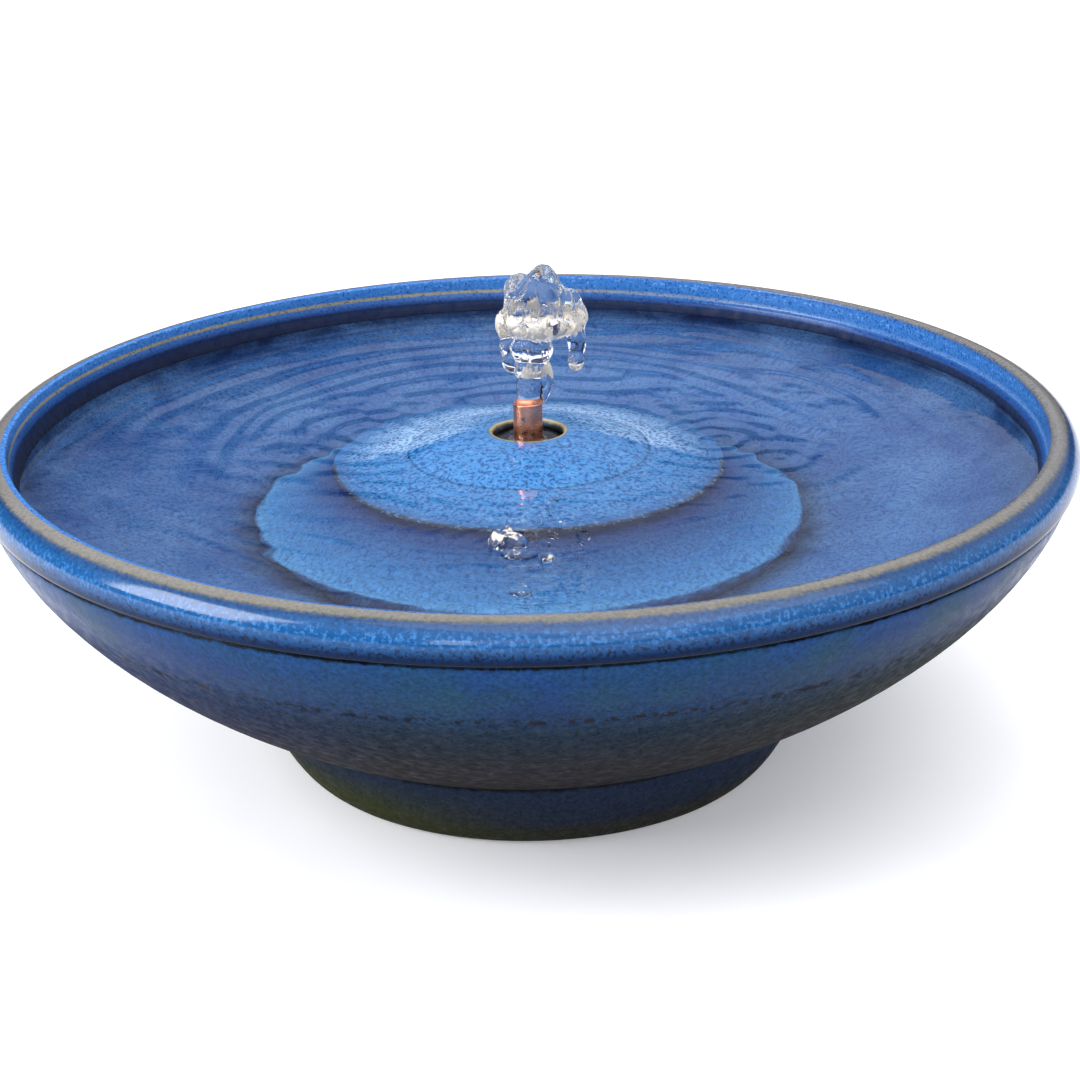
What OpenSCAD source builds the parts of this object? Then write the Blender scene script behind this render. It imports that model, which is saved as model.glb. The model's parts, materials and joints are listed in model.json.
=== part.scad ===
// Bird bath: a stoneware fountain bowl with a ceramic pump cover, a copper
// spout and a small submersible pump. Millimetres, +Z up.
// Origin: centre of the foot ring, on the table.

/* [Bowl] */
// Widest diameter, over the rolled rim
bowl_d = 356; // [280:1:440]
// Height from the table to the crest of the rim
bowl_h = 116.5; // [100:0.5:150]
// Radius of the rolled outer edge of the rim
roll_r = 8; // [5:0.5:11]
// How far the belly's curve stands inside the rolled rim
rim_overhang = 1.3; // [0.5:0.1:3]
// Fullness of the belly: 2 is an ellipse, lower is closer to a cone
belly_n = 1.6; // [1.4:0.05:2.2]
// Clay between the belly's curve and the basin at the waterline
wall_t = 11.7; // [8:0.1:16]
// Height of the basin's lowest virtual point above the table
under_t = 17.5; // [12:0.5:24]
// Height of the flat basin floor above the table
floor_h = 32.5; // [28:0.5:40]
// Clay under the basin floor
floor_t = 12; // [8:0.5:16]
// Height of the bevel inside the crest
bevel_h = 9.5; // [6:0.5:11]
// Drop from the crest to the ridge on the bevel
ridge_drop = 5.5; // [3:0.5:7]

/* [Foot ring] */
// Diameter of the foot ring where it rests
foot_d = 150; // [120:1:180]
// Diameter of the foot ring where it joins the belly
foot_top_d = 186; // [160:1:220]
// Width of the ring that rests on the table
foot_ring_w = 12; // [8:0.5:18]

/* [Pump cover] */
// Diameter over the cover's foot
cover_d = 181.4; // [160:0.2:190]
// Height of the cover
cover_h = 72.1; // [66:0.1:80]
// Diameter of the domed cap
cap_d = 128.4; // [110:0.2:136]
// Drop from the hole's rim to the edge of the cap
cap_drop = 18.7; // [10:0.1:24]
// Diameter of the hole for the spout
hole_d = 22.6; // [20:0.2:32]
// Thickness of the cover's clay
cover_t = 7; // [5:0.5:9]
// Radius of the arched notches in the cover's foot
notch_r = 10; // [6:0.5:12]
// Number of notches
notches = 3; // [2:1:4]

/* [Spout] */
// Outside diameter of the copper tube
spout_d = 9.525; // [7.9:0.025:12.7]
// Wall of the copper tube
spout_wall = 0.81; // [0.6:0.01:1.2]
// How far the tube stands above the cover
spout_proud = 9.6; // [5:0.1:20]
// Wall of the vinyl hose
hose_wall = 1.6; // [1:0.1:2.4]
// Length of the barb that the hose is pushed over
barb_l = 9; // [7:0.5:14]
// How far the tube is pushed into the hose
tube_grip = 12; // [8:0.5:16]

/* [Water jet] */
// Height of the jet above the end of the tube
jet_h = 46.5; // [20:0.5:80]
// Widest diameter of the jet's head
jet_d = 30; // [14:0.5:50]
// Height of the jet's head
jet_head_h = 36; // [15:0.5:60]

/* [Pump] */
// Width of the motor housing
pump_w = 42; // [38:0.5:50]
// Length of the motor housing
pump_l = 36; // [34:0.5:44]
// Height of the motor housing
pump_h = 41; // [40:0.5:48]
// Height of the suction cups
cup_h = 4.5; // [3:0.5:8]
// Diameter of the rotor magnet
magnet_d = 13; // [10:0.2:14]
// Length of the rotor magnet
magnet_l = 20; // [16:0.5:22]
// Diameter of the impeller
impeller_d = 22; // [16:0.5:24]
// Diameter of the ceramic shaft
shaft_d = 2; // [1.5:0.1:3]
// Number of impeller blades
blades = 6; // [4:1:8]

/* [Fits] */
// Gap between the cover's foot and the basin, and under the suction cups
rest_gap = 0.35; // [0.2:0.05:0.6]
// Radial running clearance of the rotor on its shaft
run_fit = 0.05; // [0.02:0.01:0.1]
// Radial clearance of pushed-on hoses and sockets
push_fit = 0.05; // [0.02:0.01:0.1]
// Gap round pieces that lift out or slide
slip_gap = 0.4; // [0.3:0.05:0.8]

/* [Hidden] */
$fn = 96;
e = 0.02; // tiny overlap or gap between touching faces

// Bowl section
basin_lip = 3; // short face between the bevel and the basin's curve
ridge_in = 2.4; // how far the bevel's ridge lies inside the crest circle
belly_a = bowl_d / 2 - rim_overhang;
belly_z = bowl_h - roll_r;
foot_top_r = foot_top_d / 2;
foot_r = foot_d / 2;
basin_a = belly_a - wall_t;
basin_z = bowl_h - bevel_h - basin_lip;
basin_b = basin_z - under_t;
curve_steps = 20;

// Height of the belly's curve and of the basin's surface at a radius
function belly_at(r) = belly_z * (1 - pow(1 - pow(r / belly_a, belly_n), 1 / belly_n));
function basin_curve(r) = basin_z - basin_b * pow(1 - pow(r / basin_a, belly_n), 1 / belly_n);
function basin_at(r) = max(floor_h, basin_curve(r));
function basin_slope(r) = atan((basin_curve(r + 0.5) - basin_curve(r - 0.5)) / 1);
foot_h = belly_at(foot_top_r);

// A superellipse quarter, from angle t0 to t1, widest radius first
function quarter(a, b, z, t0, t1) = [
  for (i = [0:curve_steps])
    let (t = t0 + (t1 - t0) * i / curve_steps)
    [a * pow(cos(t), 2 / belly_n), z - b * pow(sin(t), 2 / belly_n)]
];
// Points on a circle's arc
function arc(x, z, r, a0, a1, steps) = [
  for (i = [0:steps])
    let (t = a0 + (a1 - a0) * i / steps)
    [x + r * cos(t), z + r * sin(t)]
];
// Angle at which a superellipse quarter has fallen by a height
function fall_angle(drop, b) = asin(pow(drop / b, belly_n / 2));

roll_x = bowl_d / 2 - roll_r;
groove_z = belly_z - 0.75 * roll_r;
belly_t0 = fall_angle(roll_r * 0.87, belly_z);
belly_t1 = acos(pow(foot_top_r / belly_a, belly_n / 2));
basin_t1 = fall_angle(basin_z - floor_h, basin_b);
foot_swell = 0.55;
foot_steps = 8;

// Cover section: the cap's fall from the hole's rim, and the skirt's flare
cap_r = cap_d / 2;
hole_r = hole_d / 2;
cover_r = cover_d / 2;
hole_round = cover_t / 5;
cap_n = 1.6;
skirt_n = 1.25;
lip_h = 2.5;
neck_r = cap_r - 2.4;
neck_z = cover_h - cap_drop - lip_h - 2;
heel_r = 4;
heel_top = 10;
cap_start = hole_r + hole_round;
function cap_fall(r) = cap_drop * pow((r - cap_start) / (cap_r - cap_start), cap_n);
function cap_tilt(r) = atan(cap_fall(r + 0.5) - cap_fall(r));
function skirt_u(u) = [
  neck_r + (cover_r - neck_r) * u,
  heel_top + (neck_z - heel_top) * pow(1 - u, skirt_n)
];
function skirt_tilt(u) = atan(
  skirt_n * (neck_z - heel_top) / (cover_r - neck_r) * pow(1 - u, skirt_n - 1)
);
heel_x = cover_r - heel_r;
heel_slope = basin_slope(heel_x);
cover_z = basin_at(heel_x) + (heel_r + rest_gap) / cos(heel_slope) - heel_r;
cover_top = cover_z + cover_h;

// Pump layout: shaft along Y, outlet on the Z axis, inlet at -Y
pump_z = floor_h + rest_gap + cup_h;
strainer_t = 1.6;
volute_ri = impeller_d / 2 + 1.6;
volute_ro = volute_ri + 1.6;
axis_z = pump_z + pump_h - volute_ro - strainer_t - slip_gap;
front_y = 6;
shell_t = 1.6;
well_ri = magnet_d / 2 + 0.6;
well_t = 1;
well_ro = well_ri + well_t;
well_end = front_y + 1 + magnet_l + 8;
volute_l = 12;
volute_y = front_y - volute_l;
spigot_ro = 5;
spigot_ri = 3.4;
pump_top = pump_z + pump_h;
spigot_top = pump_top + 6;
copper_top = cover_top + spout_proud;
hose_ri = spout_d / 2 + push_fit;
hose_ro = hose_ri + hose_wall;
barb_r = hose_ri - push_fit;
nipple_flange = spigot_top + 2;
hose_z = nipple_flange + 0.2;
barb_top = nipple_flange + barb_l;
copper_z = barb_top + 1;
hose_top = min(copper_z + tube_grip, cover_top - 4);

// Stator: a U of laminations, its yoke under the well, its arms beside it
core_l = 14;
arm_x = well_ro + 0.2;
arm_t = 5.5;
yoke_t = 5;
coil_t = 3;
bobbin_t = 0.8;
core_y = front_y + shell_t + coil_t + bobbin_t + slip_gap;
cavity_z = pump_z + 1.5;
yoke_z = cavity_z + 0.4 + coil_t + bobbin_t;
core_gap = 0.1;
pot_gap = 0.05;

strainer_front = volute_y - 14;
dial_r = 8;
dial_t = 1.8;
pivot_r = 2;
dial_hole_x = 4.6;

jet_z = copper_top + 0.3;
jet_r = spout_d / 2 - spout_wall + 0.3;

// ---- helpers ----

// Cylinder along Y from y0 to y1, centred on the shaft's axis
module y_cyl(r, y0, y1) {
  translate([0, y1, axis_z])
    rotate([90, 0, 0])
      cylinder(r = r, h = y1 - y0);
}

// Block with upright edges rounded, from its low corner
module round_block(size, r) {
  linear_extrude(height = size[2])
    union() {
      translate([r, 0])
        square([size[0] - 2 * r, size[1]]);
      translate([0, r])
        square([size[0], size[1] - 2 * r]);
      for (x = [r, size[0] - r], y = [r, size[1] - r])
        translate([x, y])
          circle(r = r);
    }
}

// Tube on the Z axis
module tube(ro, ri, z0, z1) {
  translate([0, 0, z0])
    difference() {
      cylinder(r = ro, h = z1 - z0);
      translate([0, 0, -1])
        cylinder(r = ri, h = z1 - z0 + 2);
    }
}

// ---- bowl ----

// One thrown piece: rolled rim, groove, belly, foot ring and basin
module bowl() {
  outer = concat(
    arc(roll_x, belly_z, roll_r, 100, -40, 14),
    [[belly_a - 2, groove_z]],
    quarter(belly_a, belly_z, belly_z, belly_t0, belly_t1)
  );
  foot = [
    for (i = [foot_steps:-1:0])
      let (s = i / foot_steps)
      [foot_r + (foot_top_r - 0.8 - foot_r) * pow(s, foot_swell), (foot_h - 0.9) * s]
  ];
  recess = [
    [foot_r - foot_ring_w, 0],
    [foot_r - foot_ring_w - 1.5, 2],
    [foot_r - foot_ring_w - 3, floor_h - floor_t - 3],
    [foot_r - foot_ring_w - 6, floor_h - floor_t],
    [0, floor_h - floor_t]
  ];
  basin = quarter(basin_a, basin_b, basin_z, 0, basin_t1);
  inner = [for (i = [curve_steps:-1:0]) basin[i]];
  color([0.2, 0.36, 0.62])
    rotate_extrude($fn = 180)
      polygon(concat(
        outer, foot, recess,
        [[0, floor_h]], inner,
        [[basin_a + 0.9, bowl_h - bevel_h], [roll_x - ridge_in, bowl_h - ridge_drop]]
      ));
}

// ---- pump cover ----

// Domed cap with the spout's hole, a flared skirt and arched notches
module pump_cover() {
  cap = [
    for (i = [1:10])
      let (r = cap_start + (cap_r - cap_start) * i / 10)
      [r, cover_h - cap_fall(r)]
  ];
  skirt = [for (i = [0:9]) skirt_u(i / 10)];
  skirt_in = [
    for (i = [9:-1:0])
      let (p = skirt_u(i / 10), t = skirt_tilt(i / 10))
      [p[0] - cover_t * sin(t), p[1] - cover_t * cos(t)]
  ];
  cap_in = [
    for (i = [7:-1:1])
      let (r = cap_start + (cap_r - cap_start) * i / 10, t = cap_tilt(r))
      [r - cover_t * sin(t), cover_h - cap_fall(r) - cover_t * cos(t)]
  ];
  profile = concat(
    arc(cap_start, cover_h - hole_round, hole_round, 180, 90, 4),
    cap,
    [[cap_r - 0.4, cover_h - cap_drop - lip_h], [neck_r, neck_z + 0.6]],
    skirt,
    [[cover_r, heel_top - 0.6]],
    arc(heel_x, heel_r, heel_r, 0, -90, 5),
    [[heel_x - 5, 0.6]],
    skirt_in,
    cap_in,
    [[cap_start, cover_h - cover_t], [hole_r, cover_h - cover_t + 1]]
  );
  color([0.3, 0.5, 0.8])
    translate([0, 0, cover_z])
      difference() {
        rotate_extrude($fn = 144)
          polygon(profile);
        for (i = [0:notches - 1])
          rotate([0, 0, -30 + i * 360 / notches])
            translate([neck_r - 12, 0, 0])
              rotate([0, 90, 0])
                cylinder(r = notch_r, h = 50, $fn = 48);
      }
}

// ---- spout and hose ----

// Cut length of copper tube, its ends slightly eased
module copper_spout() {
  ease = 0.25;
  ri = spout_d / 2 - spout_wall;
  color([0.85, 0.5, 0.36])
    rotate_extrude()
      polygon([
        [ri, copper_z + ease],
        [ri + ease, copper_z],
        [spout_d / 2 - ease, copper_z],
        [spout_d / 2, copper_z + ease],
        [spout_d / 2, copper_top - ease],
        [spout_d / 2 - ease, copper_top],
        [ri + ease, copper_top],
        [ri, copper_top - ease]
      ]);
}

// Short vinyl hose, pushed over the nipple's barb and round the copper tube
module spout_hose() {
  color([0.85, 0.9, 0.9, 0.6])
    tube(hose_ro, hose_ri, hose_z, hose_top);
}

// Adapter: a socket on the pump's spigot, a flange and a ribbed barb
module outlet_nipple() {
  socket_ri = spigot_ro + push_fit;
  socket_z = pump_top + slip_gap;
  bore_r = barb_r - 1.4;
  ribs = 4;
  pitch = (barb_top - nipple_flange) / ribs;
  color([0.12, 0.12, 0.13])
    rotate_extrude()
      polygon(concat(
        [[socket_ri, socket_z], [socket_ri + 1.5, socket_z]],
        [[socket_ri + 1.5, nipple_flange - 1.6], [hose_ro + 0.6, nipple_flange - 1.6]],
        [[hose_ro + 0.6, nipple_flange], [barb_r - 0.5, nipple_flange]],
        [for (i = [0:ribs - 1]) for (k = [0, 1])
          k == 0
            ? [barb_r, nipple_flange + pitch * i + 0.4]
            : [barb_r - 0.5, nipple_flange + pitch * (i + 1)]],
        [[bore_r, barb_top], [bore_r, spigot_top + 0.3], [socket_ri, spigot_top + 0.3]]
      ));
}

// ---- water ----

// The water that wells up from the tube: a column and a rounded head
module water_jet() {
  head_z = jet_z + jet_h - jet_head_h;
  mid = jet_head_h * 0.52;
  lower = jet_head_h * 0.48;
  steps = 8;
  color([0.85, 0.92, 0.97, 0.5])
    rotate_extrude()
      polygon(concat(
        [[0, jet_z], [jet_r, jet_z], [jet_r, head_z + 1]],
        [for (i = [1:steps])
          let (t = -90 + 90 * i / steps)
          [max(jet_r, jet_d / 2 * cos(t)), head_z + mid + mid * sin(t)]],
        [for (i = [1:steps])
          let (t = 90 * i / steps)
          [i == steps ? 0 : jet_d / 2 * cos(t), head_z + mid + lower * sin(t)]]
      ));
}

// ---- pump ----

// Motor housing: shell open at the back, with the rotor's well
module pump_housing() {
  cav_w = pump_w - 2 * shell_t;
  color([0.1, 0.1, 0.11])
    difference() {
      union() {
        difference() {
          translate([-pump_w / 2, front_y, pump_z])
            round_block([pump_w, pump_l, pump_h], 3);
          translate([-cav_w / 2, front_y + shell_t, cavity_z])
            cube([cav_w, pump_l, pump_h - 3]);
        }
        y_cyl(well_ro, front_y + 1, well_end);
      }
      y_cyl(well_ri, front_y - 1, well_end - 5);
      y_cyl(3, front_y - 1, well_end - 1.5);
      // Holes through the base for the cups' stems
      cup_places(0)
        cylinder(r = 1.6 + push_fit, h = 3, center = true);
    }
}

// Resin that fills the shell round the motor's iron and coil
module potting() {
  cav_w = pump_w - 2 * shell_t;
  g = pot_gap;
  color([0.14, 0.13, 0.12])
    difference() {
      translate([-cav_w / 2 + g, front_y + shell_t + g, cavity_z + g])
        cube([cav_w - 2 * g, pump_l - shell_t - 1.5, pump_h - 3 - 2 * g]);
      y_cyl(well_ro + g, front_y, well_end + g);
      core_shape(g);
      coil_block(coil_t + bobbin_t + g, g);
      // Room for the ends of the cups' stems
      cup_places(0)
        cylinder(r = 2, h = 5, center = true);
      // Pocket for the cord gland's tail
      y_gland(3.2 + g, front_y + pump_l - 7);
    }
}

// The U of laminations, with pole faces that follow the well
module core_shape(g) {
  top_z = axis_z + 7;
  translate([0, core_y + core_l + g, 0])
    rotate([90, 0, 0])
      linear_extrude(height = core_l + 2 * g)
        difference() {
          translate([-arm_x - arm_t - g, yoke_z - g])
            square([2 * (arm_x + arm_t + g), top_z - yoke_z + 2 * g]);
          translate([0, axis_z])
            circle(r = well_ro + core_gap - g);
          translate([-well_ro * 0.72 + g, axis_z])
            square([well_ro * 1.44 - 2 * g, 20]);
          translate([-arm_x + 0.4 + g, yoke_z + yoke_t + g])
            square([2 * (arm_x - 0.4 - g), axis_z - yoke_z - yoke_t - 3.5 - 2 * g]);
        }
}

module stator_core() {
  color([0.45, 0.46, 0.48])
    core_shape(0);
}

// Block round the yoke, grown by t on every side of it
module coil_block(t, g) {
  len = 2 * (arm_x - 0.6) + 2 * g;
  translate([-len / 2, core_y - t, yoke_z - t])
    cube([len, core_l + 2 * t, yoke_t + 2 * t]);
}

// Plastic bobbin: a sleeve round the yoke with an end flange each side
module coil_bobbin() {
  len = 2 * (arm_x - 0.6);
  flange = coil_t + bobbin_t;
  color([0.9, 0.9, 0.86])
    difference() {
      union() {
        translate([-len / 2, core_y - bobbin_t, yoke_z - bobbin_t])
          cube([len, core_l + 2 * bobbin_t, yoke_t + 2 * bobbin_t]);
        for (x = [-len / 2, len / 2 - bobbin_t])
          translate([x, core_y - flange, yoke_z - flange])
            cube([bobbin_t, core_l + 2 * flange, yoke_t + 2 * flange]);
      }
      translate([-len, core_y - 0.05, yoke_z - 0.05])
        cube([2 * len, core_l + 0.1, yoke_t + 0.1]);
    }
}

// Copper winding on the bobbin
module coil_winding() {
  len = 2 * (arm_x - 0.6) - 2 * bobbin_t - 0.1;
  t1 = bobbin_t + 0.05;
  t2 = coil_t + bobbin_t - 0.3;
  color([0.72, 0.38, 0.2])
    difference() {
      translate([-len / 2, core_y - t2, yoke_z - t2])
        cube([len, core_l + 2 * t2, yoke_t + 2 * t2]);
      translate([-len, core_y - t1, yoke_z - t1])
        cube([2 * len, core_l + 2 * t1, yoke_t + 2 * t1]);
    }
}

// Sintered magnet that turns on the shaft
module rotor_magnet() {
  color([0.2, 0.2, 0.21])
    difference() {
      y_cyl(magnet_d / 2, front_y + 1, front_y + 1 + magnet_l);
      y_cyl(shaft_d / 2 + run_fit, front_y - 2, front_y + magnet_l + 4);
    }
}

// Hub with a back plate and straight blades
module impeller() {
  back_y = front_y - 1.4;
  blade_l = 6;
  color([0.85, 0.85, 0.82])
    difference() {
      union() {
        y_cyl(3.4, back_y - blade_l - 1, front_y + 1 - e);
        y_cyl(impeller_d / 2 - 3, back_y - 1, back_y);
        for (i = [0:blades - 1])
          translate([0, back_y - blade_l, axis_z])
            rotate([0, i * 360 / blades, 0])
              translate([2.8, 0, -0.6])
                cube([impeller_d / 2 - 2.8, blade_l, 1.2]);
      }
      y_cyl(shaft_d / 2 + run_fit, back_y - blade_l - 3, front_y + 3);
    }
}

// Ceramic shaft, held still at both ends
module rotor_shaft() {
  color([0.95, 0.95, 0.93])
    y_cyl(shaft_d / 2, volute_y - 0.6, well_end - 2.2);
}

// Two rubber bushes that hold the shaft's ends
module shaft_bushes() {
  color([0.08, 0.08, 0.08])
    for (y = [[volute_y - 0.9, volute_y + 1.8], [well_end - 4.8, well_end - 2]])
      difference() {
        y_cyl(3 - push_fit, y[0], y[1]);
        y_cyl(shaft_d / 2 + e, volute_y - 2, well_end);
      }
}

// Impeller cover: a chamber open to the housing, the inlet eye and the outlet
module volute_cover() {
  eye_r = 7.2;
  color([0.12, 0.12, 0.13])
    difference() {
      union() {
        y_cyl(volute_ro, volute_y, front_y - 0.1);
        // Flange on the housing's face, inside its outline
        difference() {
          translate([-pump_w / 2 + 4, front_y - 1.9, pump_z + 4])
            cube([pump_w - 8, 1.8, pump_h - 6]);
          y_cyl(volute_ri, front_y - 3, front_y + 1);
        }
        translate([0, 0, axis_z + volute_ri - 2])
          cylinder(r = spigot_ro, h = spigot_top - axis_z - volute_ri + 2);
      }
      y_cyl(volute_ri, volute_y + 1.8, front_y + 1);
      // Inlet eye: three windows round the bush seat
      difference() {
        y_cyl(eye_r, volute_y - 1, volute_y + 2);
        y_cyl(4.2, volute_y - 2, volute_y + 3);
        for (i = [0:2])
          translate([0, volute_y - 2, axis_z])
            rotate([0, i * 120, 0])
              translate([0, 0, -0.8])
                cube([eye_r + 1, 5, 1.6]);
      }
      y_cyl(3, volute_y - 1, volute_y + 3);
      translate([0, 0, axis_z + 4])
        cylinder(r = spigot_ri, h = spigot_top);
    }
}

// Slotted front cover, open at the back, its top slot lets it slide off forwards
module intake_strainer() {
  x0 = pump_w / 2;
  t = strainer_t;
  len = front_y - 0.5 - strainer_front;
  color([0.1, 0.1, 0.11])
    difference() {
      translate([-x0, strainer_front, pump_z])
        cube([2 * x0, len, pump_h]);
      translate([-x0 + t, strainer_front + t, pump_z + t])
        cube([2 * x0 - 2 * t, len, pump_h - 2 * t]);
      // Slot for the outlet, and room for the nipple's socket
      translate([-spigot_ro - 2.2, -spigot_ro - 2.2, pump_top - 5])
        cube([2 * spigot_ro + 4.4, len, 10]);
      translate([-spigot_ro - 2.2, -spigot_ro - 2.2, axis_z])
        cube([2 * spigot_ro + 4.4, len, pump_h]);
      // Side slots
      for (s = [-1, 1], i = [0:4])
        translate([s * x0 - 2, strainer_front + 5, pump_z + 5 + i * 6])
          cube([4, 12, 2.4]);
      // Front slots, left and right of the dial
      for (s = [-1, 1], i = [0:2])
        translate([s * (dial_r + 2.8 + i * 2.6) - 0.7, strainer_front - 1, pump_z + 6])
          cube([1.4, t + 2, pump_h - 12]);
      // Two openings behind the dial
      for (s = [-1, 1])
        translate([s * dial_hole_x, strainer_front - 1, axis_z - 4])
          rotate([-90, 0, 0])
            cylinder(r = 2.2, h = t + 2, $fn = 32);
      // Pivot hole for the dial
      translate([0, strainer_front - 1, axis_z - 4])
        rotate([-90, 0, 0])
          cylinder(r = pivot_r + run_fit, h = t + 2, $fn = 48);
    }
}

// Turning plate with two openings, a pivot stem and a finger tab
module flow_dial() {
  y1 = strainer_front - 0.3;
  color([0.25, 0.26, 0.28])
    translate([0, y1, axis_z - 4])
      rotate([90, 0, 0])
        difference() {
          union() {
            cylinder(r = dial_r, h = dial_t);
            translate([0, 0, -strainer_t - 1.5])
              cylinder(r = pivot_r, h = strainer_t + 2, $fn = 48);
            translate([0, 0, -strainer_t - 1.8])
              cylinder(r = pivot_r + 0.9, h = 1.2, $fn = 48);
            translate([-1.1, dial_r - 3.6, dial_t - e])
              cube([2.2, 3.6, 2.4]);
          }
          for (s = [-1, 1])
            translate([s * dial_hole_x, 0, -1])
              cylinder(r = 2.2, h = dial_t + 2, $fn = 32);
        }
}

// Where the suction cups' stems pass the housing's base
module cup_places(dz) {
  for (x = [-pump_w / 2 + 7, pump_w / 2 - 7], y = [front_y + 6, front_y + pump_l - 6])
    translate([x, y, pump_z + dz])
      children();
}

// Four soft suction cups with button stems
module suction_cups() {
  lip_r = 6;
  color([0.75, 0.78, 0.78, 0.7])
    cup_places(0)
      rotate_extrude($fn = 48)
        polygon([
          [0, 2.2],
          [1.9, 2.2],
          [1.6, 1.6],
          [1.6, 0],
          [2.6, -0.1],
          [2.8, -cup_h + 2.4],
          [lip_r, -cup_h + 0.4],
          [lip_r, -cup_h],
          [lip_r - 1, -cup_h],
          [2.2, -cup_h + 1.3],
          [0, -cup_h + 1.6]
        ]);
}

module y_gland(r, y0) {
  translate([0, y0, axis_z - 2])
    rotate([-90, 0, 0])
      cylinder(r = r, h = 20, $fn = 48);
}

// Rubber strain relief where the pump's lead goes in
module cord_gland() {
  y0 = front_y + pump_l - 7 + 0.1;
  y1 = front_y + pump_l;
  color([0.07, 0.07, 0.07])
    translate([0, y0, axis_z - 2])
      rotate([-90, 0, 0])
        difference() {
          union() {
            cylinder(r = 3.2, h = y1 - y0 + 6, $fn = 48);
            for (i = [0:2])
              translate([0, 0, y1 - y0 - 1 + i * 2.4])
                cylinder(r = 4 - i * 0.25, h = 1.3, $fn = 48);
          }
          translate([0, 0, 3])
            cylinder(r = 1.8, h = 20, $fn = 48);
        }
}

// ---- assembly ----
bowl();
pump_cover();
copper_spout();
spout_hose();
outlet_nipple();
pump_housing();
potting();
stator_core();
coil_bobbin();
coil_winding();
rotor_magnet();
impeller();
rotor_shaft();
shaft_bushes();
volute_cover();
intake_strainer();
flow_dial();
suction_cups();
cord_gland();
water_jet();
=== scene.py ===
"""A stoneware bird bath with a small fountain, dressed for rendering.

The clay bowl, the pump cover, the copper spout and the pump stand where the
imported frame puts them. Sizes in the classes are millimetres, apart from the
studio's, which are metres. Meshes are in metres.
"""

import json
import logging
import math
from dataclasses import dataclass, field
from enum import Enum
from typing import Any, Iterable, Optional, Sequence

import bmesh
import bpy
import numpy as np
from mathutils import Matrix, Vector, noise

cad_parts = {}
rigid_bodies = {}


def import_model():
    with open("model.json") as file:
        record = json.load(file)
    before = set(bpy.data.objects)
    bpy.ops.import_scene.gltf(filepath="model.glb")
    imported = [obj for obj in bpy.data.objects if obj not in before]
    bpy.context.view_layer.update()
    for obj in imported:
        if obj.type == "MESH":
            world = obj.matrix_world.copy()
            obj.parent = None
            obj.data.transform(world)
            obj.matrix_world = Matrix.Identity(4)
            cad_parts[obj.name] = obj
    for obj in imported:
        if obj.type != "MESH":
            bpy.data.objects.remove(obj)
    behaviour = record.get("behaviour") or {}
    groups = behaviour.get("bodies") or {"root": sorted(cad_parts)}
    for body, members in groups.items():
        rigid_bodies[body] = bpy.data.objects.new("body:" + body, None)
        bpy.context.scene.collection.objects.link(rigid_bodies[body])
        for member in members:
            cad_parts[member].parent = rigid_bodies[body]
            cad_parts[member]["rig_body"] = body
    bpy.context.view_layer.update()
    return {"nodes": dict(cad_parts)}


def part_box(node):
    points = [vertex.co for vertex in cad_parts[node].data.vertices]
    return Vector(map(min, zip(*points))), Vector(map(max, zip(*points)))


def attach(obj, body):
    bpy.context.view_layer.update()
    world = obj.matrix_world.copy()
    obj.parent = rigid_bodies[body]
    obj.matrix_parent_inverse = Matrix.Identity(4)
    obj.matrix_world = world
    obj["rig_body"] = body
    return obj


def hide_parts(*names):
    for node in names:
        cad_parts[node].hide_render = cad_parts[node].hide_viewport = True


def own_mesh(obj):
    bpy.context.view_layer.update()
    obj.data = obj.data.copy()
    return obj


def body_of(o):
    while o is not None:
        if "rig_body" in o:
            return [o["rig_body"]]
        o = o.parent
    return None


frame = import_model()

MM = 0.001
Tree = bpy.types.NodeTree
Places = dict[str, Any]
log = logging.getLogger("bird_bath")


# ---- shared helpers ----


def linear(code: str) -> tuple[float, float, float, float]:
    """Turn an sRGB hex code into a linear colour.

    Args:
        code: The colour as "#rrggbb".

    Returns:
        Red, green, blue and alpha, linear, from 0 to 1.
    """
    parts = [int(code[i:i + 2], 16) / 255 for i in (1, 3, 5)]
    lin = [c / 12.92 if c <= 0.04045 else ((c + 0.055) / 1.055) ** 2.4 for c in parts]
    return (lin[0], lin[1], lin[2], 1.0)


def per_metre(size: float) -> float:
    """Return the texture scale whose features are this many millimetres across."""
    return 1.0 / (size * MM)


def add_node(
    tree: Tree,
    kind: str,
    settings: Optional[dict[str, Any]] = None,
    inputs: Optional[dict[Any, Any]] = None,
    stops: Optional[Sequence[tuple[float, str]]] = None,
) -> bpy.types.Node:
    """Add a node with its settings, its values or links, and a ramp's stops.

    Args:
        tree: The node tree that gets the node.
        kind: The node's type name.
        settings: Attributes to set on the node.
        inputs: For each input, a value or the output that feeds it.
        stops: Positions and hex colours of a colour ramp.

    Returns:
        The new node.
    """
    node = tree.nodes.new(kind)
    for name, value in (settings or {}).items():
        setattr(node, name, value)
    for name, value in (inputs or {}).items():
        if isinstance(value, bpy.types.NodeSocket):
            tree.links.new(value, node.inputs[name])
        else:
            node.inputs[name].default_value = value
    if stops:
        ramp = node.color_ramp
        while len(ramp.elements) < len(stops):
            ramp.elements.new(1.0)
        for element, (place, code) in zip(ramp.elements, stops):
            element.position = place
            element.color = linear(code)
    return node


def new_material(name: str) -> tuple[bpy.types.Material, Tree, Any]:
    """Start an empty material with an output.

    Args:
        name: The material's name.

    Returns:
        The material, its node tree and its output node.
    """
    material = bpy.data.materials.new(name)
    material.use_nodes = True
    tree = material.node_tree
    tree.nodes.clear()
    return material, tree, add_node(tree, "ShaderNodeOutputMaterial")


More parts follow.
